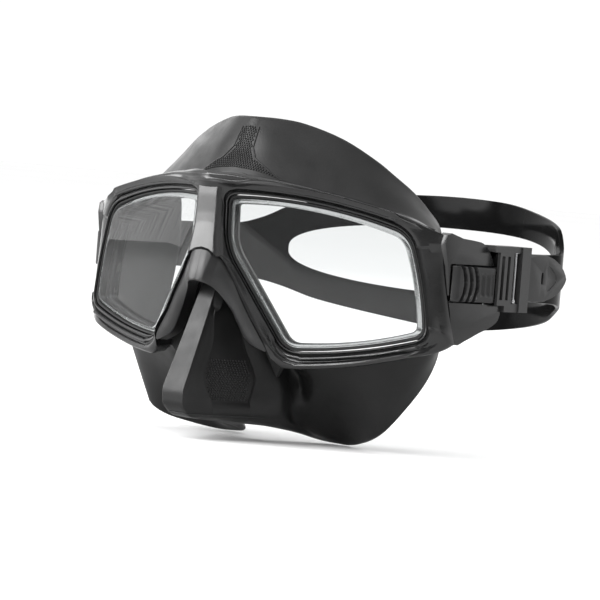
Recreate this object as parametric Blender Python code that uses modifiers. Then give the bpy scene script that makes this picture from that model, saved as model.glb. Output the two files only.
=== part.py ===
"""Twin-lens low-volume diving mask with a silicone skirt, side clips and a split head strap.

Lengths are in millimetres and are scaled to metres when a mesh is made. X runs to the
wearer's left, Y from the glass towards the back of the head, Z up. The datum is the plane of
symmetry, level with the upper inner corners of the glass. Everything hangs from one empty,
which lifts the datum so that the mask stands on Z = 0 and is centred on the origin.
"""

import math

import bmesh
import bpy
from mathutils import Matrix, Vector

MM = 0.001
GAP = 0.3

DATUM_Y = -68.5
DATUM_Z = 84.95

# Glass: each lens lies in an upright plane, swept back from the nose.
LENS_SWEEP = math.radians(23.4)
LENS_START_X = 7.5
LENS_THICKNESS = 4.0
LENS_CORNERS = ((0.0, 0.0), (63.9, -7.9), (72.0, -41.9), (24.1, -50.5), (0.7, -16.8))
LENS_BOWS = (3.0, 1.3, 1.7, 0.0, 0.0)
LENS_SOFTNESS = (2.5, 5.0, 3.2, 4.5, 6.0)
EDGE_STATIONS = (0.0, 0.06, 0.12, 0.3, 0.5, 0.7, 0.88, 0.94)
CORNER_SHARE = 0.12

# Frame: a ring round each lens, closed by a brow, a lower rim and an outer side.
OPENING_GROW = 1.3
RIM_WIDTHS = (2.2, 1.2, 2.2, 0.9, 1.4)
RIM_HEIGHTS = (1.9, -0.6, 1.6, 0.8, 1.2)
FRAME_BACK = -6.0
NOSE_SIDE = 3
NOSE_SIDE_PACE = ((0.0, 0.0), (0.88, 0.78), (1.0, 1.0))
FRAME_FRONT_EDGE = (
    ((0, -4.5, 9.2), (8, -3, 8.9), (16, 1.5, 8.4), (23.7, 5.5, 7.7), (40, 13, 5),
     (50.9, 17.8, 2.6), (64.6, 24.2, -0.8), (71, 27.3, -3.7), (76.8, 31.9, -6.2)),
    ((76.8, 31.9, -6.2), (77.2, 33.2, -17.6), (79.4, 35.8, -33.9), (80.8, 38.9, -44.6)),
    ((80.8, 38.9, -44.6), (78, 35.4, -47.4), (68.4, 25.4, -51), (52, 18.3, -55.3),
     (35.5, 11.1, -57.8), (29.5, 8, -57.6), (26, 5.5, -54.6)),
    ((26, 5.5, -54.6), (24.7, 2.6, -48.9), (19.2, 0.9, -40.5), (15.4, -0.5, -33.7),
     (11.6, -1.5, -26.9), (8, -3.3, -21.2), (3.5, -5, -18.1), (0, -5.4, -17.4)),
    ((0, -5.4, -17.4), (0, -3, -9), (0, -1.8, 1), (0, -4.5, 9.2)),
)
FRAME_BACK_EDGE = (
    ((0, 6.5, 8.4), (8, 6.9, 8.1), (16, 10.2, 7.6), (23.7, 13.5, 6.9), (40, 20.6, 4.3),
     (50.9, 25.3, 1.9), (64.6, 29.5, -1.4), (71, 31.2, -4.2), (74.7, 31.7, -6.9)),
    ((74.7, 31.7, -6.9), (74.7, 33, -17.6), (75, 35.6, -33.9), (75.6, 38.5, -43.9)),
    ((75.6, 38.5, -43.9), (74, 37.2, -46.6), (68.4, 32.9, -50.2), (52, 25.8, -54.5),
     (35.5, 18.7, -57), (29.5, 16, -56.8), (26, 14.5, -53.9)),
    ((26, 14.5, -53.9), (24.2, 13.8, -50.2), (22.4, 13, -47.9), (18.9, 11.5, -42.5),
     (14.9, 9.7, -36.2), (10.9, 8, -29.9), (7.3, 6.4, -24.3), (4, 6.4, -19.6), (0, 6.5, -17.2)),
    ((0, 6.5, -17.2), (0, 6.5, -9), (0, 6.5, 1), (0, 6.5, 8.4)),
)

# Nose arch: the saddle below the bridge, whose legs run down beside the nose pocket.
ARCH_OUTER = ((0, -5.4, -18.3), (3.1, -5, -18.9), (7.2, -3.3, -22), (10.8, -1.5, -27.5),
              (14.5, -0.6, -34.3), (18.3, 0.8, -41.1), (23.7, 2.4, -49.4), (24.9, 3.4, -52))
ARCH_INNER = ((0, -8.3, -29.5), (4, -6.9, -30.4), (7.2, -3.6, -33.6), (10.9, -0.6, -39.2),
              (13, 0.4, -43.2), (15.2, 1.2, -47.2), (18.6, 2, -52.8), (20.2, 3, -55.4))
ARCH_DEPTH = 6.5
ARCH_OUTER_BACK = (-2.2, 8.0)
ARCH_STATIONS = 16

# Skirt: (x, y, z) of its front edge behind the frame and of the rim that meets the face.
SKIRT_WALL = 2.0
SKIRT_RIM = (
    (0, 18.6, 29), (9.4, 21.6, 28.9), (17.5, 26, 27.8), (30.4, 31.7, 23.5), (42.3, 36.8, 16.8),
    (49.2, 38.9, 12.2), (56.9, 41.2, 6.8), (63, 42.6, 1.1), (68, 44, -5), (73, 46, -20),
    (74, 47, -35), (73.3, 47, -44.6), (69.5, 46, -50.2), (65.6, 44.2, -60.5),
    (58, 40.6, -72.2), (53.5, 39.3, -77), (47.2, 40.4, -80.6), (39, 45.2, -83), (28.9, 51, -84.8),
    (22, 52, -84.9), (17, 49.5, -84.2), (12.9, 43, -82.4), (8.9, 36.5, -80.6), (0, 32.5, -79.6))
SKIRT_FRONT = (
    (0, 7, 6.2), (12, 9.1, 5.7), (20, 12.5, 5), (30, 16.8, 3.8), (40, 21.2, 2.2),
    (49, 25, 0.3), (56, 28, -1.5), (63, 31, -4), (68, 33.3, -6.5), (72.5, 35.2, -14),
    (73.2, 35.5, -25), (72.5, 38.8, -38), (69, 34, -45.3), (62, 31, -48.8),
    (54, 27.5, -50.8), (45, 23.6, -52.8), (37, 20.2, -54), (28, 16.3, -54.5),
    (17, 11.6, -53), (8, 7.7, -49), (0, 7, -46))
SKIRT_CENTRE_Z = -26.0
SKIRT_STATIONS = 80
NOSE_OUTER = (
    (3.5, 0.5, -32.0), (4.8, -14.9, -67.6), (4.6, -14.8, -73.0), (4.0, -10.5, -76.6),
    (10.0, 0.0, -77.8), (16.0, 8.0, -77.8), (22.0, 22.0, -77.8), (21.0, 30.0, -78.2),
    (14.0, 38.0, -79.6), (25.0, 28.0, -60.0), (19.0, 13.0, -58.0), (13.0, 12.0, -44.0),
    (8.0, 12.0, -30.0))
NOSE_INNER = (
    (2.0, 4.0, -35.0), (3.0, -12.0, -66.5), (2.8, -12.0, -72.0), (2.4, -8.0, -74.6),
    (8.0, 2.0, -75.8), (13.0, 10.0, -75.8), (17.0, 24.0, -75.8), (12.0, 37.0, -77.4),
    (11.0, 48.0, -77.4), (16.0, 40.0, -62.0), (15.0, 18.0, -59.0), (9.0, 18.0, -46.0),
    (5.0, 18.0, -36.0))

# Side arms: plates that carry the clips. The outer face leans out towards the back.
ARM_INNER_X = 74.9
ARM_FACE_X = 79.5
ARM_FACE_Y = 37.0
ARM_FACE_SLOPE = 0.21
ARM_OUTLINE = ((32.4, -6.5), (40.0, -7.3), (48.9, -8.4), (55.0, -15.7), (58.1, -29.0),
               (59.6, -32.4), (58.4, -36.0), (54.6, -38.4), (50.3, -40.2), (44.0, -43.2),
               (39.9, -44.4), (36.4, -33.9), (33.8, -17.6))
NOTCH_Z = (-29.9, -16.3)
NOTCH_FLOOR_X = 77.9
NOTCH_FRONT_Y = 35.8
SLOT_X = (76.1, 77.95)
SLOT_Z = (-31.6, -14.6)
SLOT_FRONT_Y = 39.6

# Clip: slides back off the arm, and holds the strap.
TONGUE = (76.4, 77.6, 40.0, 58.0, -31.3, -14.9)
INNER_PLATE = (76.5, 77.7, 56.4, 66.0, -29.4, -11.0)
UPPER_WALL = (76.5, 85.4, 57.2, 74.0, -11.3, -9.1)
UPPER_LIP = (84.2, 85.4, 52.6, 58.0, -11.3, -9.1)
LOWER_WALL = (76.5, 85.4, 60.3, 74.0, -32.2, -29.2)
LADDER = (84.25, 85.4, 55.7, 64.4, -30.0, -11.0)
LADDER_SLOTS_Y = ((57.0, 58.8), (60.6, 62.2))
LADDER_SLOT_Z = (-28.0, -12.6)
KEEPER = (84.25, 86.0, 68.6, 74.0, -32.2, -9.1)
UPPER_CHEEK = (76.6, 84.8, 56.3, 58.7, -18.1, -16.8)
LOWER_CHEEK = (76.6, 84.8, 56.3, 58.7, -29.3, -27.9)
TAB_PIN_XY = (80.9, 57.4)
TAB_PIN_RADIUS = 0.75
TAB_PIN_Z = (-29.0, -17.1)
TAB_PROFILE = ((79.2, 38.4), (79.5, 36.9), (80.4, 36.3), (81.4, 37.4), (83.2, 46.0),
               (84.6, 53.6), (84.6, 54.6), (83.2, 55.4), (79.6, 55.4))
TAB_Z = (-29.3, -16.9)
TAB_EAR_PROFILE = ((79.6, 53.0), (82.6, 53.0), (82.3, 57.6), (81.4, 58.6), (80.4, 58.6),
                   (79.6, 57.6))
TAB_EAR_Z = (-27.5, -18.5)
TAB_GROOVES_Y = (40.6, 43.6, 46.6)
TAB_GROOVE_WIDTH = 1.1
TAB_GROOVE_DEPTH = 1.2
LOCK_PIN_XY = (84.5, 66.4)
LOCK_PIN_RADIUS = 0.55
LOCK_PIN_Z = (-30.4, -10.2)
ROLLER_XY = (81.05, 62.2)
ROLLER_RADIUS = 0.95
ROLLER_Z = (-30.9, -10.3)

# Strap: one moulded band with a large oval split at the back, and a free tail at each clip.
STRAP_THICKNESS = 1.7
STRAP_LEG_X = 79.0
STRAP_TAIL_X = 83.1
STRAP_HALF_WIDTH = 83.5
STRAP_DEPTH = 76.0
STRAP_CENTRE_Y = 75.0
STRAP_FRONT_Y = 70.7
STRAP_FLARE_ANGLE = 25.0
STRAP_TOP = ((0, -11.6), (20, -11.4), (29, -10.6), (36, -7.4), (42, -3.1), (50, -0.4),
             (60, 1.9), (72, 4.4), (82, 5.2), (90, 5.4))
STRAP_BOTTOM = ((0, -28.3), (20, -29.4), (29, -30.8), (36, -32.0), (42, -33.9), (50, -37.3),
                (60, -39.9), (72, -42.3), (82, -43.9), (90, -44.5))
SPLIT_HALF_WIDTH = 61.5
SPLIT_Z = (-31.4, -6.6)
TAIL_OUTLINE = ((66.0, -11.5), (87.6, -11.5), (95.8, -14.6), (99.6, -18.0), (100.4, -19.9),
                (99.6, -21.8), (95.8, -25.0), (87.6, -28.2), (66.0, -28.2))
TAIL_SLOT = (75.4, 76.2, -26.6, -12.8)
TAIL_HOLE = (84.4, 85.6, -22.0, -17.8)
WRAP_STEPS = 8

COLOURS = {
    "frame_plastic": ((0.022, 0.022, 0.023, 1.0), 0.25),
    "trim_plastic": ((0.030, 0.030, 0.031, 1.0), 0.35),
    "silicone": ((0.016, 0.016, 0.017, 1.0), 0.42),
    "strap_silicone": ((0.012, 0.012, 0.013, 1.0), 0.30),
    "gasket": ((0.010, 0.010, 0.010, 1.0), 0.55),
    "pin_steel": ((0.35, 0.35, 0.36, 1.0), 0.28),
    "lens_glass": ((0.80, 0.84, 0.85, 0.35), 0.03),
}


# ---------------------------------------------------------------- scene and objects


def clear_scene():
    for item in list(bpy.data.objects):
        bpy.data.objects.remove(item, do_unlink=True)


def make_collection(name):
    made = bpy.data.collections.new(name)
    bpy.context.scene.collection.children.link(made)
    return made


def make_material(name):
    colour, roughness = COLOURS[name]
    made = bpy.data.materials.new(name)
    made.use_nodes = True
    shader = made.node_tree.nodes["Principled BSDF"]
    shader.inputs["Base Color"].default_value = colour
    shader.inputs["Roughness"].default_value = roughness
    shader.inputs["Metallic"].default_value = 1.0 if name == "pin_steel" else 0.0
    if name == "lens_glass":
        shader.inputs["Transmission Weight"].default_value = 0.9
        shader.inputs["Alpha"].default_value = colour[3]
    made.diffuse_color = colour
    return made


def new_object(name, mesh):
    made = bpy.data.objects.new(name, mesh)
    scratch.objects.link(made)
    return made


def object_of(name, shape):
    """A mesh object from a bmesh in millimetres, with its normals turned outwards."""
    bmesh.ops.recalc_face_normals(shape, faces=shape.faces)
    if shape.calc_volume(signed=True) < 0:
        bmesh.ops.reverse_faces(shape, faces=shape.faces)
    bmesh.ops.scale(shape, vec=(MM, MM, MM), verts=shape.verts)
    mesh = bpy.data.meshes.new(name)
    shape.to_mesh(mesh)
    shape.free()
    return new_object(name, mesh)


def evaluated_mesh(item):
    graph = bpy.context.evaluated_depsgraph_get()
    return bpy.data.meshes.new_from_object(item.evaluated_get(graph))


def combine(item, other, operation):
    """Cuts, joins or intersects with another object, which it uses up."""
    step = item.modifiers.new(operation.lower(), "BOOLEAN")
    step.operation = operation
    step.solver = "EXACT"
    step.object = other
    bpy.context.view_layer.update()
    mesh = evaluated_mesh(item)
    item.modifiers.remove(step)
    item.data = mesh
    bpy.data.objects.remove(other, do_unlink=True)
    return item


def finish_part(item, name, material, smooth_angle=32.0, origin=None):
    """Names a part, moves it to the mask's collection and hangs it from the datum."""
    item.name = name
    item.data.name = name
    scratch.objects.unlink(item)
    parts.objects.link(item)
    item.data.materials.clear()
    item.data.materials.append(materials[material])
    if origin:
        offset = Vector(origin) * MM
        item.data.transform(Matrix.Translation(-offset))
        item.location = offset
    item.data.shade_smooth()
    item.data.set_sharp_from_angle(angle=math.radians(smooth_angle))
    item.parent = datum
    return item


def mirrored(item, name):
    """A copy of the object on the other side of the plane of symmetry."""
    mesh = item.data.copy()
    mesh.transform(Matrix.Diagonal((-1, 1, 1, 1)))
    mesh.flip_normals()
    made = new_object(name, mesh)
    made.location = (-item.location.x, item.location.y, item.location.z)
    return made


def both_sides(item, name, material, origin=None, smooth_angle=32.0):
    """Keeps a part on the +X side, which is the wearer's left, and makes its mirror image."""
    finish_part(item, f"{name}_left", material, smooth_angle, origin)
    other = mirrored(item, f"{name}_right")
    finish_part(other, f"{name}_right", material, smooth_angle)


# ---------------------------------------------------------------- shapes


def box(low_x, high_x, low_y, high_y, low_z, high_z):
    shape = bmesh.new()
    bmesh.ops.create_cube(shape, size=1.0)
    size = (high_x - low_x, high_y - low_y, high_z - low_z)
    middle = ((low_x + high_x) / 2, (low_y + high_y) / 2, (low_z + high_z) / 2)
    bmesh.ops.scale(shape, vec=size, verts=shape.verts)
    bmesh.ops.translate(shape, vec=middle, verts=shape.verts)
    return object_of("box", shape)


def upright_cylinder(place, radius, low_z, high_z, sides=16):
    shape = bmesh.new()
    bmesh.ops.create_cone(shape, cap_ends=True, segments=sides, radius1=radius,
                          radius2=radius, depth=high_z - low_z)
    middle = (place[0], place[1], (low_z + high_z) / 2)
    bmesh.ops.translate(shape, vec=middle, verts=shape.verts)
    return object_of("cylinder", shape)


def plate(outlines, thickness, matrix):
    """A flat piece: closed outlines in the matrix's XY plane, centred on it, holes included."""
    curve = bpy.data.curves.new("plate", "CURVE")
    curve.dimensions = "2D"
    curve.fill_mode = "BOTH"
    curve.extrude = thickness * MM / 2
    for outline in outlines:
        spline = curve.splines.new("POLY")
        spline.points.add(len(outline) - 1)
        for point, (x, y) in zip(spline.points, outline):
            point.co = (x * MM, y * MM, 0.0, 1.0)
        spline.use_cyclic_u = True
    guide = bpy.data.objects.new("plate_guide", curve)
    scratch.objects.link(guide)
    bpy.context.view_layer.update()
    shape = bmesh.new()
    shape.from_mesh(evaluated_mesh(guide))
    bpy.data.objects.remove(guide, do_unlink=True)
    bmesh.ops.remove_doubles(shape, verts=shape.verts, dist=0.001 * MM)
    bmesh.ops.scale(shape, vec=(1 / MM, 1 / MM, 1 / MM), verts=shape.verts)
    bmesh.ops.transform(shape, matrix=matrix, verts=shape.verts)
    return object_of("plate", shape)


def side_plate(outline, low_x, high_x):
    """A plate whose outline is given as (y, z), between two values of x."""
    matrix = Matrix(((0, 0, 1, (low_x + high_x) / 2), (1, 0, 0, 0), (0, 1, 0, 0), (0, 0, 0, 1)))
    return plate([outline], high_x - low_x, matrix)


def flat_plate(outline, low_z, high_z):
    """A plate whose outline is given as (x, y), between two heights."""
    return plate([outline], high_z - low_z, Matrix.Translation((0, 0, (low_z + high_z) / 2)))


def hull(points):
    shape = bmesh.new()
    for x, y, z in points:
        shape.verts.new((x, y, z))
        shape.verts.new((-x, y, z))
    result = bmesh.ops.convex_hull(shape, input=shape.verts)
    spare = {item for item in result["geom_interior"] + result["geom_unused"]
             if isinstance(item, bmesh.types.BMVert)}
    bmesh.ops.delete(shape, geom=list(spare), context="VERTS")
    return object_of("hull", shape)


def loft(rows):
    """A skin through closed rings of points. Each end is closed by strips across its ring."""
    shape = bmesh.new()
    rings = [[shape.verts.new(point) for point in row] for row in rows]
    count = len(rings[0])
    for first, second in zip(rings, rings[1:]):
        for i in range(count):
            j = (i + 1) % count
            shape.faces.new((first[i], first[j], second[j], second[i]))
    for ring in (rings[0], rings[-1]):
        close_ring(shape, ring)
    return shape


def close_ring(shape, ring):
    """Closes a ring of an even number of points, or of five, with strips of faces."""
    if len(ring) < 6:
        shape.faces.new(ring)
        return
    half = len(ring) // 2
    for side in (ring[: half + 1], ring[half:] + ring[:1]):
        low, high = 0, half
        while high - low > 2:
            shape.faces.new((side[low], side[low + 1], side[high - 1], side[high]))
            low += 1
            high -= 1
        shape.faces.new(side[low : high + 1])


def along(points, share):
    """A point on the smooth curve through the points, at this share of its length."""
    points = [Vector(point) for point in points]
    lengths = [0.0]
    for a, b in zip(points, points[1:]):
        lengths.append(lengths[-1] + (b - a).length)
    target = min(max(share, 0.0), 1.0) * lengths[-1]
    i = 0
    while i < len(points) - 2 and lengths[i + 1] < target:
        i += 1
    span = lengths[i + 1] - lengths[i]
    t = (target - lengths[i]) / span
    start, end = points[i], points[i + 1]
    before = points[i - 1] if i else start
    after = points[i + 2] if i + 2 < len(points) else end
    leave = (end - before) * span / ((end - before).length or 1)
    arrive = (after - start) * span / ((after - start).length or 1)
    return (start * (2 * t**3 - 3 * t**2 + 1) + leave * (t**3 - 2 * t**2 + t)
            + end * (3 * t**2 - 2 * t**3) + arrive * (t**3 - t**2))


def table(pairs, value):
    """Straight-line reading of a table of (input, output)."""
    for (a, low), (b, high) in zip(pairs, pairs[1:]):
        if value <= b:
            return low + (high - low) * (value - a) / (b - a)
    return pairs[-1][1]


# ---------------------------------------------------------------- lens outline


def grown_corners(grow):
    """The lens's corners, with every edge moved out by the same distance."""
    corners = [Vector(corner) for corner in LENS_CORNERS]
    moved = []
    for i, corner in enumerate(corners):
        arriving = (corner - corners[i - 1]).normalized()
        leaving = (corners[(i + 1) % len(corners)] - corner).normalized()
        first = Vector((-arriving.y, arriving.x))
        second = Vector((-leaving.y, leaving.x))
        moved.append(corner + (first + second) * grow / (1 + first.dot(second)))
    return moved


def edge_point(corners, edge, t):
    """A point on a gently bowed edge."""
    start = corners[edge]
    end = corners[(edge + 1) % len(corners)]
    direction = (end - start).normalized()
    outward = Vector((-direction.y, direction.x))
    return start.lerp(end, t) + outward * LENS_BOWS[edge] * 4 * t * (1 - t)


def corner_point(corners, corner, t, grow):
    """A point on the soft turn at a corner, from the edge before it to the edge after it."""
    count = len(corners)
    soft = LENS_SOFTNESS[corner] + 0.8 * grow
    before = (corners[corner] - corners[corner - 1]).length
    after = (corners[(corner + 1) % count] - corners[corner]).length
    start = edge_point(corners, (corner - 1) % count, 1 - soft / before)
    end = edge_point(corners, corner, soft / after)
    middle = corners[corner]
    return start * (1 - t) ** 2 + middle * 2 * t * (1 - t) + end * t**2


def outline_point(grow, edge, t):
    """The lens outline, grown by a distance: an edge with half of the turn at each end."""
    corners = grown_corners(grow)
    following = (edge + 1) % len(corners)
    if t < CORNER_SHARE:
        return corner_point(corners, edge, 0.5 + 0.5 * t / CORNER_SHARE, grow)
    if t > 1 - CORNER_SHARE:
        return corner_point(corners, following, 0.5 * (t - 1 + CORNER_SHARE) / CORNER_SHARE, grow)
    length = (corners[following] - corners[edge]).length
    low = (LENS_SOFTNESS[edge] + 0.8 * grow) / length
    high = 1 - (LENS_SOFTNESS[following] + 0.8 * grow) / length
    return edge_point(corners, edge, low + (high - low) * (t - CORNER_SHARE) / (1 - 2 * CORNER_SHARE))


def lens_outline(grow):
    return [outline_point(grow, edge, t) for edge in range(len(LENS_CORNERS)) for t in EDGE_STATIONS]


def lens_matrix():
    """From (along the glass, up, out of the glass) to the mask's frame, on the +X side."""
    c, s = math.cos(LENS_SWEEP), math.sin(LENS_SWEEP)
    return Matrix(((c, 0, s, LENS_START_X), (s, 0, -c, 0), (0, 1, 0, 0), (0, 0, 0, 1)))


def on_lens(point, depth):
    return lens_matrix() @ Vector((point[0], point[1], depth))


def lens_plate(outlines, back, front):
    """A flat piece parallel to the glass, between two depths in front of the glass's face."""
    matrix = lens_matrix() @ Matrix.Translation((0, 0, (back + front) / 2))
    return plate(outlines, front - back, matrix)


# ---------------------------------------------------------------- parts


def make_lenses():
    both_sides(lens_plate([lens_outline(0.0)], -LENS_THICKNESS, 0.0), "lens", "lens_glass")


def make_lens_seals():
    ring = lens_plate([lens_outline(1.0), lens_outline(0.3)], -LENS_THICKNESS, -0.3)
    both_sides(ring, "lens_seal", "gasket")


def make_lens_retainers():
    ring = lens_plate([lens_outline(0.9), lens_outline(-1.6)], -7.8, -LENS_THICKNESS - GAP)
    both_sides(ring, "lens_retainer", "trim_plastic")


def rim_section(edge, t):
    """How far the rim's crest stands outside the opening and in front of the glass."""
    following = (edge + 1) % len(LENS_CORNERS)
    before = (edge - 1) % len(LENS_CORNERS)
    if t < 0.5:
        share, other = 0.5 + t, before
    else:
        share, other = 1.5 - t, following
    share = min(share, 1.0) if abs(t - 0.5) > 0.38 else 1.0
    width = RIM_WIDTHS[edge] * share + RIM_WIDTHS[other] * (1 - share)
    height = RIM_HEIGHTS[edge] * share + RIM_HEIGHTS[other] * (1 - share)
    return width, height


def make_frame():
    """One half is a ring skinned round the lens opening, open at the plane of symmetry."""
    rows = [[] for _ in range(6)]
    bridge = len(LENS_CORNERS) - 1
    on_plane = []
    for edge in range(len(LENS_CORNERS)):
        for t in EDGE_STATIONS:
            share = table(NOSE_SIDE_PACE, t) if edge == NOSE_SIDE else t
            front = along(FRAME_FRONT_EDGE[edge], share)
            back = along(FRAME_BACK_EDGE[edge], share)
            opening = outline_point(OPENING_GROW, edge, t)
            width, height = rim_section(edge, t)
            crest = on_lens(outline_point(OPENING_GROW + width, edge, t), height)
            lip = on_lens(opening, 0.5)
            rows[0].append(on_lens(opening, FRAME_BACK))
            rows[1].append(lip)
            rows[2].append(crest if crest.x > 0.8 else Vector((0.8, crest.y, crest.z)))
            rows[3].append(crest.lerp(front, 0.55))
            rows[4].append(front)
            rows[5].append(back)
            on_plane.append(edge == bridge or (edge == 0 and t == 0.0))
    shape = bmesh.new()
    rings = [[shape.verts.new(point) for point in row] for row in rows]
    count = len(rings[0])
    for k in range(6):
        first, second = rings[k], rings[(k + 1) % 6]
        for i in range(count):
            j = (i + 1) % count
            if k == 4 and on_plane[i] and on_plane[j]:
                continue
            shape.faces.new((first[i], first[j], second[j], second[i]))
    bmesh.ops.recalc_face_normals(shape, faces=shape.faces)
    frame = object_of("frame", shape)
    mirror = frame.modifiers.new("mirror", "MIRROR")
    mirror.merge_threshold = 0.00001
    bpy.context.view_layer.update()
    frame.data = evaluated_mesh(frame)
    frame.modifiers.clear()
    finish_part(frame, "frame", "frame_plastic")


def make_nose_arch():
    """A saddle: sections from the seam under the bridge to the edge above the nose pocket."""
    rows = []
    for step in range(-ARCH_STATIONS, ARCH_STATIONS + 1):
        share = abs(step) / ARCH_STATIONS
        side = -1 if step < 0 else 1
        outer = along(ARCH_OUTER, share)
        inner = along(ARCH_INNER, share)
        ridge = outer.lerp(inner, 0.5) + Vector((0, -0.8, 0))
        lean, depth = ARCH_OUTER_BACK
        section = (outer, ridge, inner, inner + Vector((0, ARCH_DEPTH, 0)),
                   outer + Vector((lean * min(outer.x / 8, 1), depth, 0)))
        rows.append([Vector((side * p.x, p.y, p.z)) for p in section])
    arch = object_of("nose_arch", loft(rows))
    finish_part(arch, "nose_arch", "trim_plastic")


def skirt_ring(points, grow=0.0, forward=0.0):
    """A closed ring through half a table of points, shrunk towards its middle if asked."""
    ring = []
    for step in range(SKIRT_STATIONS):
        turn = 2 * step / SKIRT_STATIONS
        side = 1 if turn <= 1 else -1
        point = along(points, turn if turn <= 1 else 2 - turn)
        radial = Vector((point.x, 0, point.z - SKIRT_CENTRE_Z))
        point = point + radial.normalized() * grow + Vector((0, forward, 0))
        ring.append(Vector((side * point.x, point.y, point.z)))
    return ring


def skirt_body(grow, front_shift, overrun):
    """The body between frame and face."""
    front = skirt_ring(SKIRT_FRONT, grow, front_shift)
    back = skirt_ring(SKIRT_RIM, grow)
    middle = [a.lerp(b, 0.5) for a, b in zip(front, back)]
    rows = [front, middle, back]
    if overrun:
        rows.append([point + Vector((0, overrun, 0)) for point in back])
    return object_of("skirt_body", loft(rows))


def make_skirt():
    skirt = skirt_body(0.0, 0.0, 0.0)
    combine(skirt, hull(NOSE_OUTER), "UNION")
    inside = skirt_body(-SKIRT_WALL, SKIRT_WALL, 25.0)
    combine(skirt, inside, "DIFFERENCE")
    combine(skirt, hull(NOSE_INNER), "DIFFERENCE")
    for side in (1, -1):
        window = lens_plate([lens_outline(1.3)], -14.0, 4.0)
        if side < 0:
            copy = mirrored(window, "window")
            bpy.data.objects.remove(window, do_unlink=True)
            window = copy
        combine(skirt, window, "DIFFERENCE")
    finish_part(skirt, "skirt", "silicone", 40.0)


def make_side_arms():
    arm = side_plate(ARM_OUTLINE, ARM_INNER_X, 88.0)
    lean = [(ARM_FACE_X + ARM_FACE_SLOPE * (y - ARM_FACE_Y), y) for y in (20.0, 70.0)]
    outside = [lean[0], (110.0, 20.0), (110.0, 70.0), lean[1]]
    combine(arm, flat_plate(outside, -60.0, 10.0), "DIFFERENCE")
    combine(arm, box(NOTCH_FLOOR_X, 90, NOTCH_FRONT_Y, 80, *NOTCH_Z), "DIFFERENCE")
    combine(arm, box(*SLOT_X, SLOT_FRONT_Y, 80, *SLOT_Z), "DIFFERENCE")
    both_sides(arm, "side_arm", "frame_plastic")


def make_clips():
    clip = box(*INNER_PLATE)
    for piece in (TONGUE, UPPER_WALL, UPPER_LIP, LOWER_WALL, LADDER, KEEPER, UPPER_CHEEK,
                  LOWER_CHEEK):
        combine(clip, box(*piece), "UNION")
    for low_y, high_y in LADDER_SLOTS_Y:
        combine(clip, box(84.0, 86.0, low_y, high_y, *LADDER_SLOT_Z), "DIFFERENCE")
    for place, radius, span in ((TAB_PIN_XY, TAB_PIN_RADIUS, TAB_PIN_Z),
                                (LOCK_PIN_XY, LOCK_PIN_RADIUS, LOCK_PIN_Z),
                                (ROLLER_XY, ROLLER_RADIUS, ROLLER_Z)):
        hole = upright_cylinder(place, radius + 0.1, span[0] - 0.1, span[1] + 0.1)
        combine(clip, hole, "DIFFERENCE")
    origin = (STRAP_LEG_X, KEEPER[2], (KEEPER[4] + KEEPER[5]) / 2)
    both_sides(clip, "clip", "trim_plastic", origin)


def make_release_tabs():
    tab = flat_plate(TAB_PROFILE, *TAB_Z)
    combine(tab, flat_plate(TAB_EAR_PROFILE, *TAB_EAR_Z), "UNION")
    for y in TAB_GROOVES_Y:
        x = TAB_PROFILE[3][0] + (y - TAB_PROFILE[3][1]) * 0.21 - TAB_GROOVE_DEPTH
        groove = box(x, 90, y, y + TAB_GROOVE_WIDTH, TAB_Z[0] - 1, TAB_Z[1] + 1)
        combine(tab, groove, "DIFFERENCE")
    hole = upright_cylinder(TAB_PIN_XY, TAB_PIN_RADIUS + 0.1, TAB_Z[0], TAB_Z[1])
    combine(tab, hole, "DIFFERENCE")
    origin = (*TAB_PIN_XY, (TAB_Z[0] + TAB_Z[1]) / 2)
    both_sides(tab, "release_tab", "trim_plastic", origin)


def make_pins():
    for name, place, radius, span in (
        ("tab_pin", TAB_PIN_XY, TAB_PIN_RADIUS, TAB_PIN_Z),
        ("lock_pin", LOCK_PIN_XY, LOCK_PIN_RADIUS, LOCK_PIN_Z),
        ("strap_roller", ROLLER_XY, ROLLER_RADIUS, ROLLER_Z),
    ):
        pin = upright_cylinder(place, radius, *span)
        both_sides(pin, name, "pin_steel", (*place, (span[0] + span[1]) / 2))


def strap_point(angle):
    """The middle line of the strap at an angle round the head, 0 at a clip and 90 behind."""
    turn = math.radians(angle)
    flare = min(angle / STRAP_FLARE_ANGLE, 1.0)
    inset = (STRAP_HALF_WIDTH - STRAP_LEG_X) * (1 - flare * flare * (3 - 2 * flare))
    return Vector((STRAP_HALF_WIDTH * math.cos(turn) - inset,
                   STRAP_CENTRE_Y + STRAP_DEPTH * math.sin(turn), 0))


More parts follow.
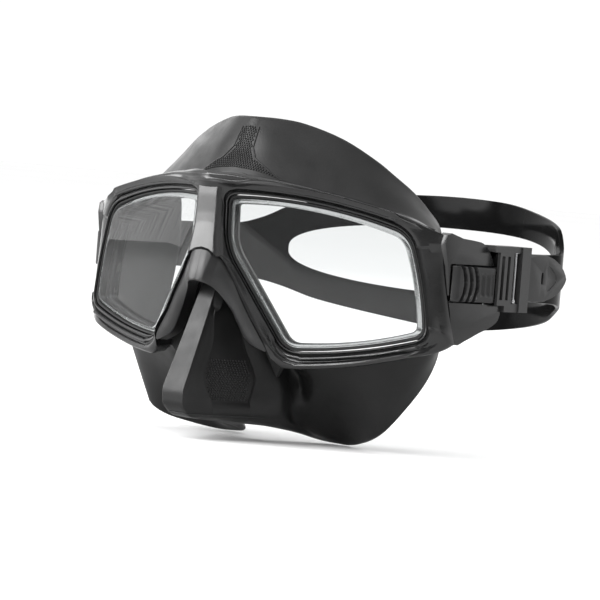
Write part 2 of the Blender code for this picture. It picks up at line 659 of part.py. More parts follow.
def make_strap():
    path = [(Vector((STRAP_LEG_X, STRAP_FRONT_Y, 0)), Vector((1, 0, 0)), 0.0)]
    for angle in range(0, 91, 5):
        here = strap_point(angle)
        ahead = strap_point(angle + 0.5) - strap_point(max(angle - 0.5, 0.0))
        if angle == 90:
            ahead = Vector((-1, 0, 0))
        outward = Vector((ahead.y, -ahead.x, 0)).normalized()
        path.append((here, outward, float(angle)))
    half = []
    for here, outward, angle in path:
        top = Vector((0, 0, table(STRAP_TOP, angle)))
        bottom = Vector((0, 0, table(STRAP_BOTTOM, angle)))
        out = outward * STRAP_THICKNESS / 2
        half.append([here + out + top, here - out + top, here - out + bottom, here + out + bottom])
    other = [[Vector((-p.x, p.y, p.z)) for p in row] for row in reversed(half[:-1])]
    strap = object_of("strap", loft(half + other))
    middle_z = (SPLIT_Z[0] + SPLIT_Z[1]) / 2
    tall = (SPLIT_Z[1] - SPLIT_Z[0]) / 2
    oval = []
    for step in range(48):
        turn = 2 * math.pi * step / 48
        x = SPLIT_HALF_WIDTH * math.copysign(abs(math.cos(turn)) ** 0.8, math.cos(turn))
        z = middle_z + tall * math.copysign(abs(math.sin(turn)) ** 0.8, math.sin(turn))
        oval.append((x, z))
    upright = Matrix(((1, 0, 0, 0), (0, 0, -1, 132), (0, 1, 0, 0), (0, 0, 0, 1)))
    combine(strap, plate([oval], 60.0, upright), "DIFFERENCE")
    finish_part(strap, "strap", "strap_silicone", 40.0)


def make_strap_wraps():
    """The turn of the strap round the roller, from the inner run to the outer run."""
    centre_x, centre_y = ROLLER_XY
    radius = (STRAP_TAIL_X - STRAP_LEG_X) / 2
    outer, inner = [], []
    for step in range(WRAP_STEPS + 1):
        turn = math.pi * step / WRAP_STEPS
        x, y = -math.cos(turn), -math.sin(turn)
        outer.append((centre_x + (radius + STRAP_THICKNESS / 2) * x,
                      centre_y + (radius + STRAP_THICKNESS / 2) * y))
        inner.append((centre_x + (radius - STRAP_THICKNESS / 2) * x,
                      centre_y + (radius - STRAP_THICKNESS / 2) * y))
    wrap = flat_plate(outer + inner[::-1], TAIL_OUTLINE[-1][1], TAIL_OUTLINE[0][1])
    both_sides(wrap, "strap_wrap", "strap_silicone")


def make_strap_tails():
    half = STRAP_THICKNESS / 2
    tail = side_plate(TAIL_OUTLINE, STRAP_TAIL_X - half, STRAP_TAIL_X + half)
    for low_y, high_y, low_z, high_z in (TAIL_SLOT, TAIL_HOLE):
        combine(tail, box(80, 90, low_y, high_y, low_z, high_z), "DIFFERENCE")
    both_sides(tail, "strap_tail", "strap_silicone", (STRAP_TAIL_X, TAIL_OUTLINE[0][0], -19.9))


clear_scene()
parts = make_collection("diving_mask")
scratch = make_collection("cutters")
materials = {key: make_material(key) for key in COLOURS}
datum = bpy.data.objects.new("mask_datum", None)
datum.location = (0, DATUM_Y * MM, DATUM_Z * MM)
parts.objects.link(datum)
make_frame()
make_nose_arch()
make_lenses()
make_lens_seals()
make_lens_retainers()
make_skirt()
make_side_arms()
make_clips()
make_release_tabs()
make_pins()
make_strap()
make_strap_wraps()
make_strap_tails()
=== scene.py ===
"""Looks of a twin-lens diving mask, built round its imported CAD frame.

Shapes are worked out in millimetres in the mask's own frame: X runs to the wearer's left, Y from
the glass to the back of the head, Z up, with the origin on the plane of symmetry, level with the
upper inner corners of the glass. shift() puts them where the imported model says.
"""

import math

import bmesh
import bpy
from mathutils import Matrix, Vector
from mathutils.bvhtree import BVHTree


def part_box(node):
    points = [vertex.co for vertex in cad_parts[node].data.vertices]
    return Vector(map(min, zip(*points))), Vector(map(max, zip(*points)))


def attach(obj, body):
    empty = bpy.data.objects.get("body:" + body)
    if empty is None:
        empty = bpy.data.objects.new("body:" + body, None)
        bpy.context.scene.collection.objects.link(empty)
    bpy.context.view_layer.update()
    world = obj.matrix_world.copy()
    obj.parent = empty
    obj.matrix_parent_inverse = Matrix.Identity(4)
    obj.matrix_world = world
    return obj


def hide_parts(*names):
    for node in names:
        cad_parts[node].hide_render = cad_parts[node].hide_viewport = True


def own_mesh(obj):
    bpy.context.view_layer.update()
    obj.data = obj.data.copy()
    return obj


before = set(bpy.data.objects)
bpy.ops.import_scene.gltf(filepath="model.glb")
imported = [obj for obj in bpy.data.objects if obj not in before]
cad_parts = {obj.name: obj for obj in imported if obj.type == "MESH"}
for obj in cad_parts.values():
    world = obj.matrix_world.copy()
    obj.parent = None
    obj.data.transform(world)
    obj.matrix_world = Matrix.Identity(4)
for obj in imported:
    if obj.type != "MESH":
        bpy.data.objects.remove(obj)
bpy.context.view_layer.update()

MM = 0.001

# The release tab's pin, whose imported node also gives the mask's place.
TAB_PIN_XY = (80.9, 57.4)
TAB_PIN_RADIUS = 0.75
TAB_PIN_Z = (-29.0, -17.1)

# Glass. A lens has five corners in its own plane, from the upper inner one outwards: (along, up).
# Each of its edges starts at a corner: the brow, the temple, the lower rim, the nose side, the bridge.
LENS_SWEEP = math.radians(23.4)
LENS_START_X = 7.5
LENS_CORNERS = ((0.0, 0.0), (63.9, -7.9), (72.0, -41.9), (24.1, -50.5), (0.7, -16.8))
LENS_BOWS = (3.0, 1.3, 1.7, 0.0, 0.0)
LENS_SOFTNESS = (2.5, 5.0, 3.2, 4.5, 6.0)
BROW_EDGE, LOWER_EDGE, NOSE_EDGE, BRIDGE_EDGE = 0, 2, 3, 4
CORNER_SHARE = 0.12
CORNER_STEPS = 6
EDGE_STEPS = 16

# Frame: its front and back outer edges, one list for each edge of the lens.
OPENING_GROW = 1.3
OPENING_BACK = -6.0
NOSE_EDGE_PACE = ((0.0, 0.0), (0.88, 0.78), (1.0, 1.0))
RIM_WIDTHS = (2.2, 1.2, 2.2, 0.9, 1.4)
RIM_HEIGHTS = (1.9, -0.6, 1.6, 0.8, 1.2)
FRAME_FRONT_EDGE = (
    ((0, -4.5, 9.2), (8, -3, 8.9), (16, 1.5, 8.4), (23.7, 5.5, 7.7), (40, 13, 5),
     (50.9, 17.8, 2.6), (64.6, 24.2, -0.8), (71, 27.3, -3.7), (76.8, 31.9, -6.2)),
    ((76.8, 31.9, -6.2), (77.2, 33.2, -17.6), (79.4, 35.8, -33.9), (80.8, 38.9, -44.6)),
    ((80.8, 38.9, -44.6), (78, 35.4, -47.4), (68.4, 25.4, -51), (52, 18.3, -55.3),
     (35.5, 11.1, -57.8), (29.5, 8, -57.6), (26, 5.5, -54.6)),
    ((26, 5.5, -54.6), (24.7, 2.6, -48.9), (19.2, 0.9, -40.5), (15.4, -0.5, -33.7),
     (11.6, -1.5, -26.9), (8, -3.3, -21.2), (3.5, -5, -18.1), (0, -5.4, -17.4)),
    ((0, -5.4, -17.4), (0, -3, -9), (0, -1.8, 1), (0, -4.5, 9.2)),
)
FRAME_BACK_EDGE = (
    ((0, 6.5, 8.4), (8, 6.9, 8.1), (16, 10.2, 7.6), (23.7, 13.5, 6.9), (40, 20.6, 4.3),
     (50.9, 25.3, 1.9), (64.6, 29.5, -1.4), (71, 31.2, -4.2), (74.7, 31.7, -6.9)),
    ((74.7, 31.7, -6.9), (74.7, 33, -17.6), (75, 35.6, -33.9), (75.6, 38.5, -43.9)),
    ((75.6, 38.5, -43.9), (74, 37.2, -46.6), (68.4, 32.9, -50.2), (52, 25.8, -54.5),
     (35.5, 18.7, -57), (29.5, 16, -56.8), (26, 14.5, -53.9)),
    ((26, 14.5, -53.9), (24.2, 13.8, -50.2), (22.4, 13, -47.9), (18.9, 11.5, -42.5),
     (14.9, 9.7, -36.2), (10.9, 8, -29.9), (7.3, 6.4, -24.3), (4, 6.4, -19.6), (0, 6.5, -17.2)),
    ((0, 6.5, -17.2), (0, 6.5, -9), (0, 6.5, 1), (0, 6.5, 8.4)),
)
# From the opening to the rim's crest: share of the crest's width, share of its height, lift.
LIP_PROFILE = ((0, 0, -1.2), (0, 0, 0.1), (0.05, 0.05, 0.38), (0.16, 0.05, 0.46), (0.30, 0.05, 0.40),
               (0.38, 0.0, 0.05), (0.44, 0.0, -0.25), (0.58, 0.1, -0.25), (0.66, 0.45, -0.1),
               (0.80, 0.85, 0.0), (1.0, 1.0, 0.0))
# From the crest to the outer edge: shares of the way, and the lift at each, one list per edge.
BAND_SHARES = (0.10, 0.20, 0.30, 0.36, 0.42, 0.52, 0.64, 0.76, 0.88, 1.0)
LOWER_BAND_SHARES = (0.08, 0.16, 0.24, 0.32, 0.38, 0.46, 0.58, 0.72, 0.88, 1.0)
BAND_LIFTS = (
    (0.1, 0.1, 0.1, 0.1, 0.1, 0.0, -0.1, -0.2, -0.3, -0.5),
    (0.25, 0.40, 0.50, 0.55, 0.58, 0.60, 0.55, 0.45, 0.25, -0.1),
    (0.10, -0.55, -0.75, -0.55, 0.10, 0.70, 1.00, 0.90, 0.30, -0.9),
    (0.02, 0.0, 0.0, 0.0, 0.0, 0.0, 0.0, 0.0, -0.10, -0.35),
    (0.0,) * 10,
)
BAND_BLEND = 0.2
BAND_FULL_WIDTH = 3.5


# ---------------------------------------------------------------- places and curves


def find_datum():
    low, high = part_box("tab_pin_left")
    return (low + high) / 2 - Vector((*TAB_PIN_XY, sum(TAB_PIN_Z) / 2)) * MM


DATUM = find_datum()


def shift(point):
    """From the mask's own frame, in millimetres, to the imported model's, in metres."""
    return Vector(point) * MM + DATUM


def along(points, share):
    """A point on the smooth curve through the points, at this share of its length."""
    points = [Vector(point) for point in points]
    lengths = [0.0]
    for a, b in zip(points, points[1:]):
        lengths.append(lengths[-1] + (b - a).length)
    target = min(max(share, 0.0), 1.0) * lengths[-1]
    i = 0
    while i < len(points) - 2 and lengths[i + 1] < target:
        i += 1
    span = lengths[i + 1] - lengths[i]
    return hermite(points, i, (target - lengths[i]) / span)


def hermite(points, i, t):
    """A point between points i and i + 1 of a smooth curve."""
    start, end = points[i], points[i + 1]
    before = points[i - 1] if i else start
    after = points[i + 2] if i + 2 < len(points) else end
    span = (end - start).length
    leave = (end - before) * span / ((end - before).length or 1)
    arrive = (after - start) * span / ((after - start).length or 1)
    return (start * (2 * t**3 - 3 * t**2 + 1) + leave * (t**3 - 2 * t**2 + t)
            + end * (3 * t**2 - 2 * t**3) + arrive * (t**3 - t**2))


def table(pairs, value):
    """Straight-line reading of a table of (input, output)."""
    for (a, low), (b, high) in zip(pairs, pairs[1:]):
        if value <= b:
            return low + (high - low) * (value - a) / (b - a)
    return pairs[-1][1]


def eased(t):
    """A smooth step from 0 to 1."""
    t = min(max(t, 0.0), 1.0)
    return t * t * (3 - 2 * t)


def sided(points, side):
    """Points of the +X side, or with side at -1 their mirror image."""
    return [Vector((side * p.x, p.y, p.z)) for p in points]


def kept_left(points):
    """Points held on the +X side of the plane of symmetry."""
    return [Vector((max(p.x, 0.0), p.y, p.z)) for p in points]


def steps(start, stop, step):
    """Values from start, up or down, short of stop."""
    value = start
    while (stop - value) * step > 0:
        yield value
        value += step


def grown_corners(grow):
    """The lens's corners, with every edge moved out by the same distance."""
    corners = [Vector(corner) for corner in LENS_CORNERS]
    moved = []
    for i, corner in enumerate(corners):
        arriving = (corner - corners[i - 1]).normalized()
        leaving = (corners[(i + 1) % len(corners)] - corner).normalized()
        first = Vector((-arriving.y, arriving.x))
        second = Vector((-leaving.y, leaving.x))
        moved.append(corner + (first + second) * grow / (1 + first.dot(second)))
    return moved


def edge_point(corners, edge, t):
    """A point on a gently bowed edge."""
    start = corners[edge]
    end = corners[(edge + 1) % len(corners)]
    direction = (end - start).normalized()
    outward = Vector((-direction.y, direction.x))
    return start.lerp(end, t) + outward * LENS_BOWS[edge] * 4 * t * (1 - t)


def corner_point(corners, corner, t, grow):
    """A point on the soft turn at a corner, from the edge before it to the edge after it."""
    count = len(corners)
    soft = LENS_SOFTNESS[corner] + 0.8 * grow
    before = (corners[corner] - corners[corner - 1]).length
    after = (corners[(corner + 1) % count] - corners[corner]).length
    start = edge_point(corners, (corner - 1) % count, 1 - soft / before)
    end = edge_point(corners, corner, soft / after)
    middle = corners[corner]
    return start * (1 - t) ** 2 + middle * 2 * t * (1 - t) + end * t**2


def outline_point(grow, edge, t):
    """The lens outline, grown by a distance: an edge with half of the turn at each end."""
    corners = grown_corners(grow)
    following = (edge + 1) % len(corners)
    if t < CORNER_SHARE:
        return corner_point(corners, edge, 0.5 + 0.5 * t / CORNER_SHARE, grow)
    if t > 1 - CORNER_SHARE:
        return corner_point(corners, following, 0.5 * (t - 1 + CORNER_SHARE) / CORNER_SHARE, grow)
    length = (corners[following] - corners[edge]).length
    low = (LENS_SOFTNESS[edge] + 0.8 * grow) / length
    high = 1 - (LENS_SOFTNESS[following] + 0.8 * grow) / length
    return edge_point(corners, edge, low + (high - low) * (t - CORNER_SHARE) / (1 - 2 * CORNER_SHARE))


def rim_stations():
    """(edge, share of the edge) for every section round a lens: close together at the corners."""
    corner = [CORNER_SHARE * k / CORNER_STEPS for k in range(CORNER_STEPS)]
    middle = [CORNER_SHARE + (1 - 2 * CORNER_SHARE) * k / EDGE_STEPS for k in range(EDGE_STEPS)]
    end = [1 - CORNER_SHARE + t for t in corner]
    return [(edge, t) for edge in range(len(LENS_CORNERS)) for t in corner + middle + end]


def on_lens(point, depth):
    """From the glass's plane, and a height in front of it, to the mask's frame, on the +X side."""
    c, s = math.cos(LENS_SWEEP), math.sin(LENS_SWEEP)
    return Vector((LENS_START_X + c * point[0] + s * depth, s * point[0] - c * depth, point[1]))


def rim_point(edge, t, grow, depth):
    """A point of the outline grown by a distance, at a height in front of the glass."""
    return on_lens(outline_point(grow, edge, t), depth)


def lens_ring(grow, depth):
    return [rim_point(edge, t, grow, depth) for edge, t in rim_stations()]


# ---------------------------------------------------------------- mesh helpers


def link_object(name, data):
    made = bpy.data.objects.new(name, data)
    bpy.context.scene.collection.objects.link(made)
    return made


def to_object(name, shape):
    mesh = bpy.data.meshes.new(name)
    shape.to_mesh(mesh)
    shape.free()
    return link_object(name, mesh)


def place(piece, body, stands_for):
    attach(piece, body)
    if stands_for:
        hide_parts(stands_for)
    return piece


def make_piece(name, shape, body, slot, sharp, stands_for="", finishes=()):
    """A finished piece from a bmesh in the mask's frame. Its finishes are its slot's, unless given."""
    bmesh.ops.recalc_face_normals(shape, faces=shape.faces)
    for vert in shape.verts:
        vert.co = shift(vert.co)
    piece = to_object(name, shape)
    for finish in finishes or (slot,):
        piece.data.materials.append(MATERIALS[finish])
    piece.data.shade_smooth()
    piece.data.set_sharp_from_angle(angle=math.radians(sharp))
    return place(piece, body, stands_for)


def both(name, shape, body, slot, sharp, stands_for="", finishes=()):
    """A piece on the +X side and its mirror image. In body and stands_for, {} is the side."""
    left = make_piece(f"{name}_left", shape, body.format("left"), slot, sharp, stands_for.format("left"),
                      finishes)
    mesh = left.data.copy()
    mesh.name = f"{name}_right"
    mesh.transform(Matrix.Diagonal((-1, 1, 1, 1)))
    mesh.flip_normals()
    right = link_object(f"{name}_right", mesh)
    place(right, body.format("right"), stands_for.format("right"))


def skin(shape, rows, around=False):
    """Quads between closed rows of points. around joins the last row to the first."""
    rings = [[shape.verts.new(point) for point in row] for row in rows]
    pairs = list(zip(rings, rings[1:]))
    if around:
        pairs.append((rings[-1], rings[0]))
    for first, second in pairs:
        for i in range(len(first)):
            j = (i + 1) % len(first)
            shape.faces.new((first[i], first[j], second[j], second[i]))
    return rings


def loft(shape, rows):
    """A skin closed by a face at each end."""
    rings = skin(shape, rows)
    shape.faces.new(rings[0])
    shape.faces.new(rings[-1])
    return shape


def cap(shape, ring):
    """Closes an even ring with strips across it."""
    half = len(ring) // 2
    for side in (ring[: half + 1], ring[half:] + ring[:1]):
        low, high = 0, half
        while high - low > 2:
            shape.faces.new((side[low], side[low + 1], side[high - 1], side[high]))
            low += 1
            high -= 1
        shape.faces.new(side[low : high + 1])


def mirror_shape(shape):
    """Adds the other half on the -X side and welds it along the plane of symmetry."""
    copy = bmesh.ops.duplicate(shape, geom=shape.verts[:] + shape.edges[:] + shape.faces[:])
    verts = [item for item in copy["geom"] if isinstance(item, bmesh.types.BMVert)]
    faces = [item for item in copy["geom"] if isinstance(item, bmesh.types.BMFace)]
    for vert in verts:
        vert.co.x = -vert.co.x
    bmesh.ops.reverse_faces(shape, faces=faces)
    bmesh.ops.remove_doubles(shape, verts=shape.verts, dist=0.002)


def join_round(stations, open_strips):
    """A mesh from the sections round a lens opening, and its mirror image.

    A station is a section's points and whether it reaches the plane of symmetry. Between two that
    do, the open strips would lie in the plane, so they get no face.
    """
    shape = bmesh.new()
    rings = [[shape.verts.new(point) for point in points] for points, _ in stations]
    for i, ring in enumerate(rings):
        j = (i + 1) % len(rings)
        on_plane = stations[i][1] and stations[j][1]
        for k in range(len(ring)):
            n = (k + 1) % len(ring)
            if not (on_plane and k in open_strips):
                shape.faces.new((ring[k], rings[j][k], rings[j][n], ring[n]))
    mirror_shape(shape)
    return shape


# ---------------------------------------------------------------- materials

GLASS_INDEX = 1.56
CLOUD_SCALE = 55.0
GLOSS_SCALE = 160.0
# Where pointiness runs between these two values, raised edges get a lighter base colour: a painted highlight.
EDGE_HIGHLIGHT_FROM = 0.52
EDGE_HIGHLIGHT_TO = 0.62
BUMP_DEPTH = 0.0002
# Name, dark and light tone, range of roughness, grain, bump, metallic, sheen, index of refraction.
MOULDED = (
    ("frame_plastic", 0.006, 0.010, (0.18, 0.26), 2600.0, 0.08, 0.0, 0.0, 1.60),
    ("trim_plastic", 0.010, 0.016, (0.30, 0.42), 3200.0, 0.16, 0.0, 0.0, 1.50),
    ("silicone", 0.005, 0.009, (0.32, 0.46), 1800.0, 0.15, 0.0, 0.01, 1.40),
    ("strap_silicone", 0.003, 0.005, (0.11, 0.18), 1200.0, 0.03, 0.0, 0.0, 1.42),
    ("strap_end", 0.012, 0.018, (0.30, 0.40), 2000.0, 0.12, 0.0, 0.03, 1.50),
    ("gasket", 0.004, 0.007, (0.50, 0.60), 2200.0, 0.20, 0.0, 0.0, 1.50),
    ("pin_steel", 0.42, 0.55, (0.18, 0.30), 3000.0, 0.10, 1.0, 0.0, 1.50),
)
# The sockets of a Mix node for each kind of value: the two inputs and the output.
MIX_SOCKETS = {"RGBA": (6, 7, 2), "FLOAT": (2, 3, 0)}


def feed(tree, item, inputs):
    """Sets a node's inputs, each to a value or to the output that it is linked to."""
    for key, value in inputs.items():
        if isinstance(value, bpy.types.NodeSocket):
            tree.links.new(value, item.inputs[key])
        else:
            item.inputs[key].default_value = value


def node(tree, kind, inputs=None, **settings):
    made = tree.nodes.new(f"ShaderNode{kind}")
    for key, value in settings.items():
        setattr(made, key, value)
    feed(tree, made, inputs or {})
    return made


def noise(tree, where, scale, detail=3.0):
    return node(tree, "TexNoise", {"Vector": where, "Scale": scale, "Detail": detail}).outputs["Fac"]


def ranged(tree, value, low, high, start=0.3, stop=0.7, **settings):
    """Maps start to low and stop to high. The middle of a noise is from 0.3 to 0.7."""
    inputs = {"Value": value, "From Min": start, "From Max": stop, "To Min": low, "To Max": high}
    return node(tree, "MapRange", inputs, **settings).outputs["Result"]


def mixed(tree, kind, share, first, second):
    low, high, out = MIX_SOCKETS[kind]
    return node(tree, "Mix", {0: share, low: first, high: second}, data_type=kind).outputs[out]


def bumped(tree, where, scale, strength, detail):
    inputs = {"Height": noise(tree, where, scale, detail), "Strength": strength, "Distance": BUMP_DEPTH}
    return node(tree, "Bump", inputs).outputs["Normal"]


def grey(level, blue=1.0):
    return (level, level, level * blue, 1.0)


def new_material(name):
    """A material, its tree, its shader and the coordinates that its noises use."""
    material = bpy.data.materials.new(name)
    material.use_nodes = True
    tree = material.node_tree
    return material, tree, tree.nodes["Principled BSDF"], node(tree, "TexCoord").outputs["Object"]


def moulded(name, dark, light, rough, grain, bump, metallic, sheen, ior):
    """A moulded surface: cloudy tone, uneven gloss, a painted highlight on the raised edges and a fine grain.
    """
    material, tree, shader, where = new_material(name)
    cloud = ranged(tree, noise(tree, where, CLOUD_SCALE), 0.0, 1.0)
    tone = mixed(tree, "RGBA", cloud, grey(dark, 1.02), grey(light, 1.02))
    # Painted highlight: the base colour is lighter on raised edges, found by pointiness.
    edge_highlight = ranged(tree, node(tree, "NewGeometry").outputs["Pointiness"], 0.0, 0.5, EDGE_HIGHLIGHT_FROM, EDGE_HIGHLIGHT_TO)
    feed(tree, shader, {
        "Base Color": mixed(tree, "RGBA", edge_highlight, tone, grey(light * 2.2)),
        "Roughness": ranged(tree, noise(tree, where, GLOSS_SCALE, 4.0), *rough),
        "Normal": bumped(tree, where, grain, bump, 2.0),
        "Metallic": metallic,
        "IOR": ior,
        "Sheen Weight": sheen,
        "Sheen Roughness": 0.4,
    })
    return material


def make_patchy(material, low, high, scale):
    """Mirrors more in some places than in others, as handled silicone does."""
    tree = material.node_tree
    cloud = noise(tree, node(tree, "TexCoord").outputs["Object"], scale, 1.0)
    level = ranged(tree, cloud, low, high, 0.47, 0.53, interpolation_type="SMOOTHSTEP")
    feed(tree, tree.nodes["Principled BSDF"], {"Specular IOR Level": level})


def clear_glass():
    """The polished faces of a lens: they let light through, and mirror more at a low angle."""
    material, tree, shader, where = new_material("lens_glass")
    tree.nodes.remove(shader)
    clear = node(tree, "BsdfTransparent", {"Color": (0.955, 0.965, 0.965, 1.0)})
    gloss = node(tree, "BsdfGlossy", {"Roughness": ranged(tree, noise(tree, where, 30.0), 0.01, 0.03)})
    inside = node(tree, "NewGeometry").outputs["Backfacing"]
    fresnel = node(tree, "Fresnel", {"IOR": mixed(tree, "FLOAT", inside, GLASS_INDEX, 1 / GLASS_INDEX)})
    surface = node(tree, "MixShader", {0: fresnel.outputs["Fac"], 1: clear.outputs["BSDF"],
                                       2: gloss.outputs["BSDF"]})
    feed(tree, tree.nodes["Material Output"], {"Surface": surface.outputs["Shader"]})
    return material


def ground_glass():
    """The ground bevel of a lens: pale, translucent, finely scratched."""
    material, tree, shader, where = new_material("lens_edge")
    feed(tree, shader, {
        "Base Color": (0.52, 0.54, 0.54, 1.0),
        "Transmission Weight": 0.85,
        "IOR": 1.5,
        "Roughness": ranged(tree, noise(tree, where, 220.0), 0.10, 0.30),
        "Normal": bumped(tree, where, 1500.0, 0.15, 3.0),
    })
    return material


def make_materials():
    made = {row[0]: moulded(*row) for row in MOULDED}
    make_patchy(made["strap_silicone"], 0.005, 0.06, 38.0)
    made["lens_glass"] = clear_glass()
    made["lens_edge"] = ground_glass()
    return made


# ---------------------------------------------------------------- frame


def neighbour(edge, t):
    """The edge past the nearer corner."""
    return (edge + (-1 if t < 0.5 else 1)) % len(LENS_CORNERS)


def edge_share(edge, t):
    """The share of the frame's outer edge that belongs to a share of the lens's edge."""
    return table(NOSE_EDGE_PACE, t) if edge == NOSE_EDGE else t


def on_symmetry(edge, t):
    """Whether the section there reaches the plane of symmetry."""
    return edge == BRIDGE_EDGE or (edge == BROW_EDGE and t == 0.0)


def facing_front(normal):
    normal = normal.normalized()
    return -normal if normal.y > 0 else normal


def rim_section(edge, t):
    """How far the rim's crest stands outside the opening and in front of the glass."""
    share = 0.5 + min(t, 1 - t) if abs(t - 0.5) > 0.5 - CORNER_SHARE else 1.0
    other = neighbour(edge, t)
    return [values[edge] * share + values[other] * (1 - share) for values in (RIM_WIDTHS, RIM_HEIGHTS)]


def band_profile(edge, t):
    """(share of the way, lift) outside the crest, blended from one edge to the next near a corner."""
    near = min(t, 1 - t)
    share = 1.0 if near > BAND_BLEND else 0.5 + 0.5 * (near / BAND_BLEND) ** 0.8
    own, other = [tuple(zip(LOWER_BAND_SHARES if side == LOWER_EDGE else BAND_SHARES, BAND_LIFTS[side]))
                  for side in (edge, neighbour(edge, t))]
    return [(a[0] * share + b[0] * (1 - share), a[1] * share + b[1] * (1 - share))
            for a, b in zip(own, other)]


def frame_station(edge, t):
    """One section through the rim: from behind the glass, over the lip, crest and band, to the back.

    With it goes whether it reaches the plane of symmetry.
    """
    width, height = rim_section(edge, t)
    front = along(FRAME_FRONT_EDGE[edge], edge_share(edge, t))
    back = along(FRAME_BACK_EDGE[edge], edge_share(edge, t))
    points = [rim_point(edge, t, OPENING_GROW, OPENING_BACK)]
    points += [rim_point(edge, t, OPENING_GROW + width * out, height * up + lift)
               for out, up, lift in LIP_PROFILE]
    crest = points[-1]
    across = front - crest
    ahead = rim_point(edge, min(t + 0.01, 1.0), OPENING_GROW + width, height)
    behind = rim_point(edge, max(t - 0.01, 0.0), OPENING_GROW + width, height)
    if edge == BRIDGE_EDGE:
        normal = Vector((0, -1, 0))
    else:
        normal = facing_front((ahead - behind).cross(across))
    size = min(1.0, across.length / BAND_FULL_WIDTH)
    points += [crest + across * way + normal * lift * size for way, lift in band_profile(edge, t)]
    outer = points[-1]
    points += [outer.lerp(back, 0.15) + across.normalized() * 0.12, outer.lerp(back, 0.55), back]
    if on_symmetry(edge, t):
        points[-4:] = [Vector((0, p.y, p.z)) for p in points[-4:]]
    return kept_left(points), on_symmetry(edge, t)


def make_frame():
    stations = [frame_station(edge, t) for edge, t in rim_stations()]
    size = len(stations[0][0])
    shape = join_round(stations, range(size - 4, size - 1))
    make_piece("frame_shell", shape, "mask", "frame_plastic", 28.0, "frame")


# The brow bar: share of the way from the glass rim's crest to the top edge, lift, for a
# section near the nose and one near the temple.
BROW_NEAR = ((0.03, -0.3), (0.04, 0.5), (0.12, 0.75), (0.26, 1.25), (0.34, 1.75), (0.38, 1.85), (0.43, 1.6),
             (0.52, 1.05), (0.66, 0.8), (0.76, 0.95), (0.82, 0.9), (0.92, 0.45), (1.0, -0.05), (1.0, -1.8))
BROW_FAR = ((0.03, -0.3), (0.05, 0.4), (0.22, 0.65), (0.40, 1.1), (0.48, 1.6), (0.52, 1.7), (0.57, 1.45),
            (0.64, 0.95), (0.72, 0.65), (0.80, 0.75), (0.86, 0.7), (0.94, 0.3), (1.0, -0.1), (1.0, -1.8))
BROW_FAR_X = 45.0
BROW_END_X = 73.5
BROW_XS = ([0.0, 0.7] + [1.5 + k for k in range(8)] + [10.0, 12.0] + [14.0 + 1.5 * k for k in range(39)]
           + [71.8, 72.6, 73.1, BROW_END_X])
# Its lower edge: from (y, z) in the middle to the rim's crest, and from the taper on up to its end.
BROW_CENTRE = (-4.5, 3.3)
BROW_BLEND_X = 14.0
BROW_TAPER_X = 66.0
BROW_END_HEIGHT = 3.2
# Its end sinks back into the frame.
BROW_SINK_X = 62.0
BROW_SINK = 2.6
BROW_THICKNESS = 2.6


def at_x(points, x):
    """The point of a polyline, in order of x, at this x."""
    return Vector((x, table([(p.x, p.y) for p in points], x), table([(p.x, p.z) for p in points], x)))


def brow_bottom(crest, top, x):
    """The lower edge of the brow bar."""
    low = at_x(crest, min(max(x, BROW_BLEND_X), BROW_TAPER_X))
    share = eased(1 - x / BROW_BLEND_X)
    y = low.y + (BROW_CENTRE[0] - low.y) * share
    z = low.z + (BROW_CENTRE[1] - low.z) * share
    past = x - BROW_TAPER_X
    if past > 0:
        y += 0.45 * past
        z = min(z, at_x(top, x).z - BROW_END_HEIGHT) - 0.03 * past**2
    return Vector((x, y, z))


def make_brow():
    crest = []
    for k in range(41):
        width, height = rim_section(BROW_EDGE, k / 40)
        crest.append(rim_point(BROW_EDGE, k / 40, OPENING_GROW + width, height))
    top = [along(FRAME_FRONT_EDGE[BROW_EDGE], k / 60) for k in range(61)]
    bottoms = [brow_bottom(crest, top, x) for x in BROW_XS]
    half = []
    for i, x in enumerate(BROW_XS):
        low, high = bottoms[i], at_x(top, x)
        ahead = bottoms[min(i + 1, len(BROW_XS) - 1)] - bottoms[i - 1] if i else Vector((1, 0, 0))
        normal = facing_front(ahead.cross(high - low))
        far = min(x / BROW_FAR_X, 1.0)
        fade = min(1.0, (BROW_END_X + 0.5 - x) / 6.0)
        section = []
        for (a, lift_a), (b, lift_b) in zip(BROW_NEAR, BROW_FAR):
            share, lift = a + (b - a) * far, lift_a + (lift_b - lift_a) * far
            section.append(low.lerp(high, share) + normal * (lift * fade if lift > 0 else lift))
        section.append(low.lerp(high, 0.5) - normal * BROW_THICKNESS)
        section.append(low - normal * 1.2)
        sink = max(0.0, (x - BROW_SINK_X) / (BROW_END_X - BROW_SINK_X))
        half.append([point + Vector((0, BROW_SINK * sink * sink, 0)) for point in section])
    other = [sided(row, -1) for row in reversed(half[1:])]
    make_piece("frame_brow", loft(bmesh.new(), other + half), "mask", "frame_plastic", 42.0, "frame")


# The bridge post, by z: half its width, and y of its face. Its foot follows the arch: |x|, z.
POST_WIDTHS = ((-17.4, 6.4), (-13.0, 5.5), (-9.0, 5.0), (-5.0, 4.8), (1.0, 4.7), (4.2, 4.7))
POST_FACES = ((-17.4, -5.2), (-13.0, -4.8), (-9.0, -4.3), (-5.0, -4.2), (1.0, -4.2), (4.2, -4.1))
POST_FOOT = ((0.0, -17.6), (3.1, -18.2), (5.0, -19.3), (6.8, -21.0))
# From the back of one side wall to the face: share of half the width, how far back, how far out.
POST_SIDE = ((-1.0, 3.4, 0.9), (-1.0, 1.6, 0.35), (-1.0, 0.35, 0.0), (-0.975, 0.1, 0.0))
POST_FLAT = 0.93
POST_CROWN = 0.12


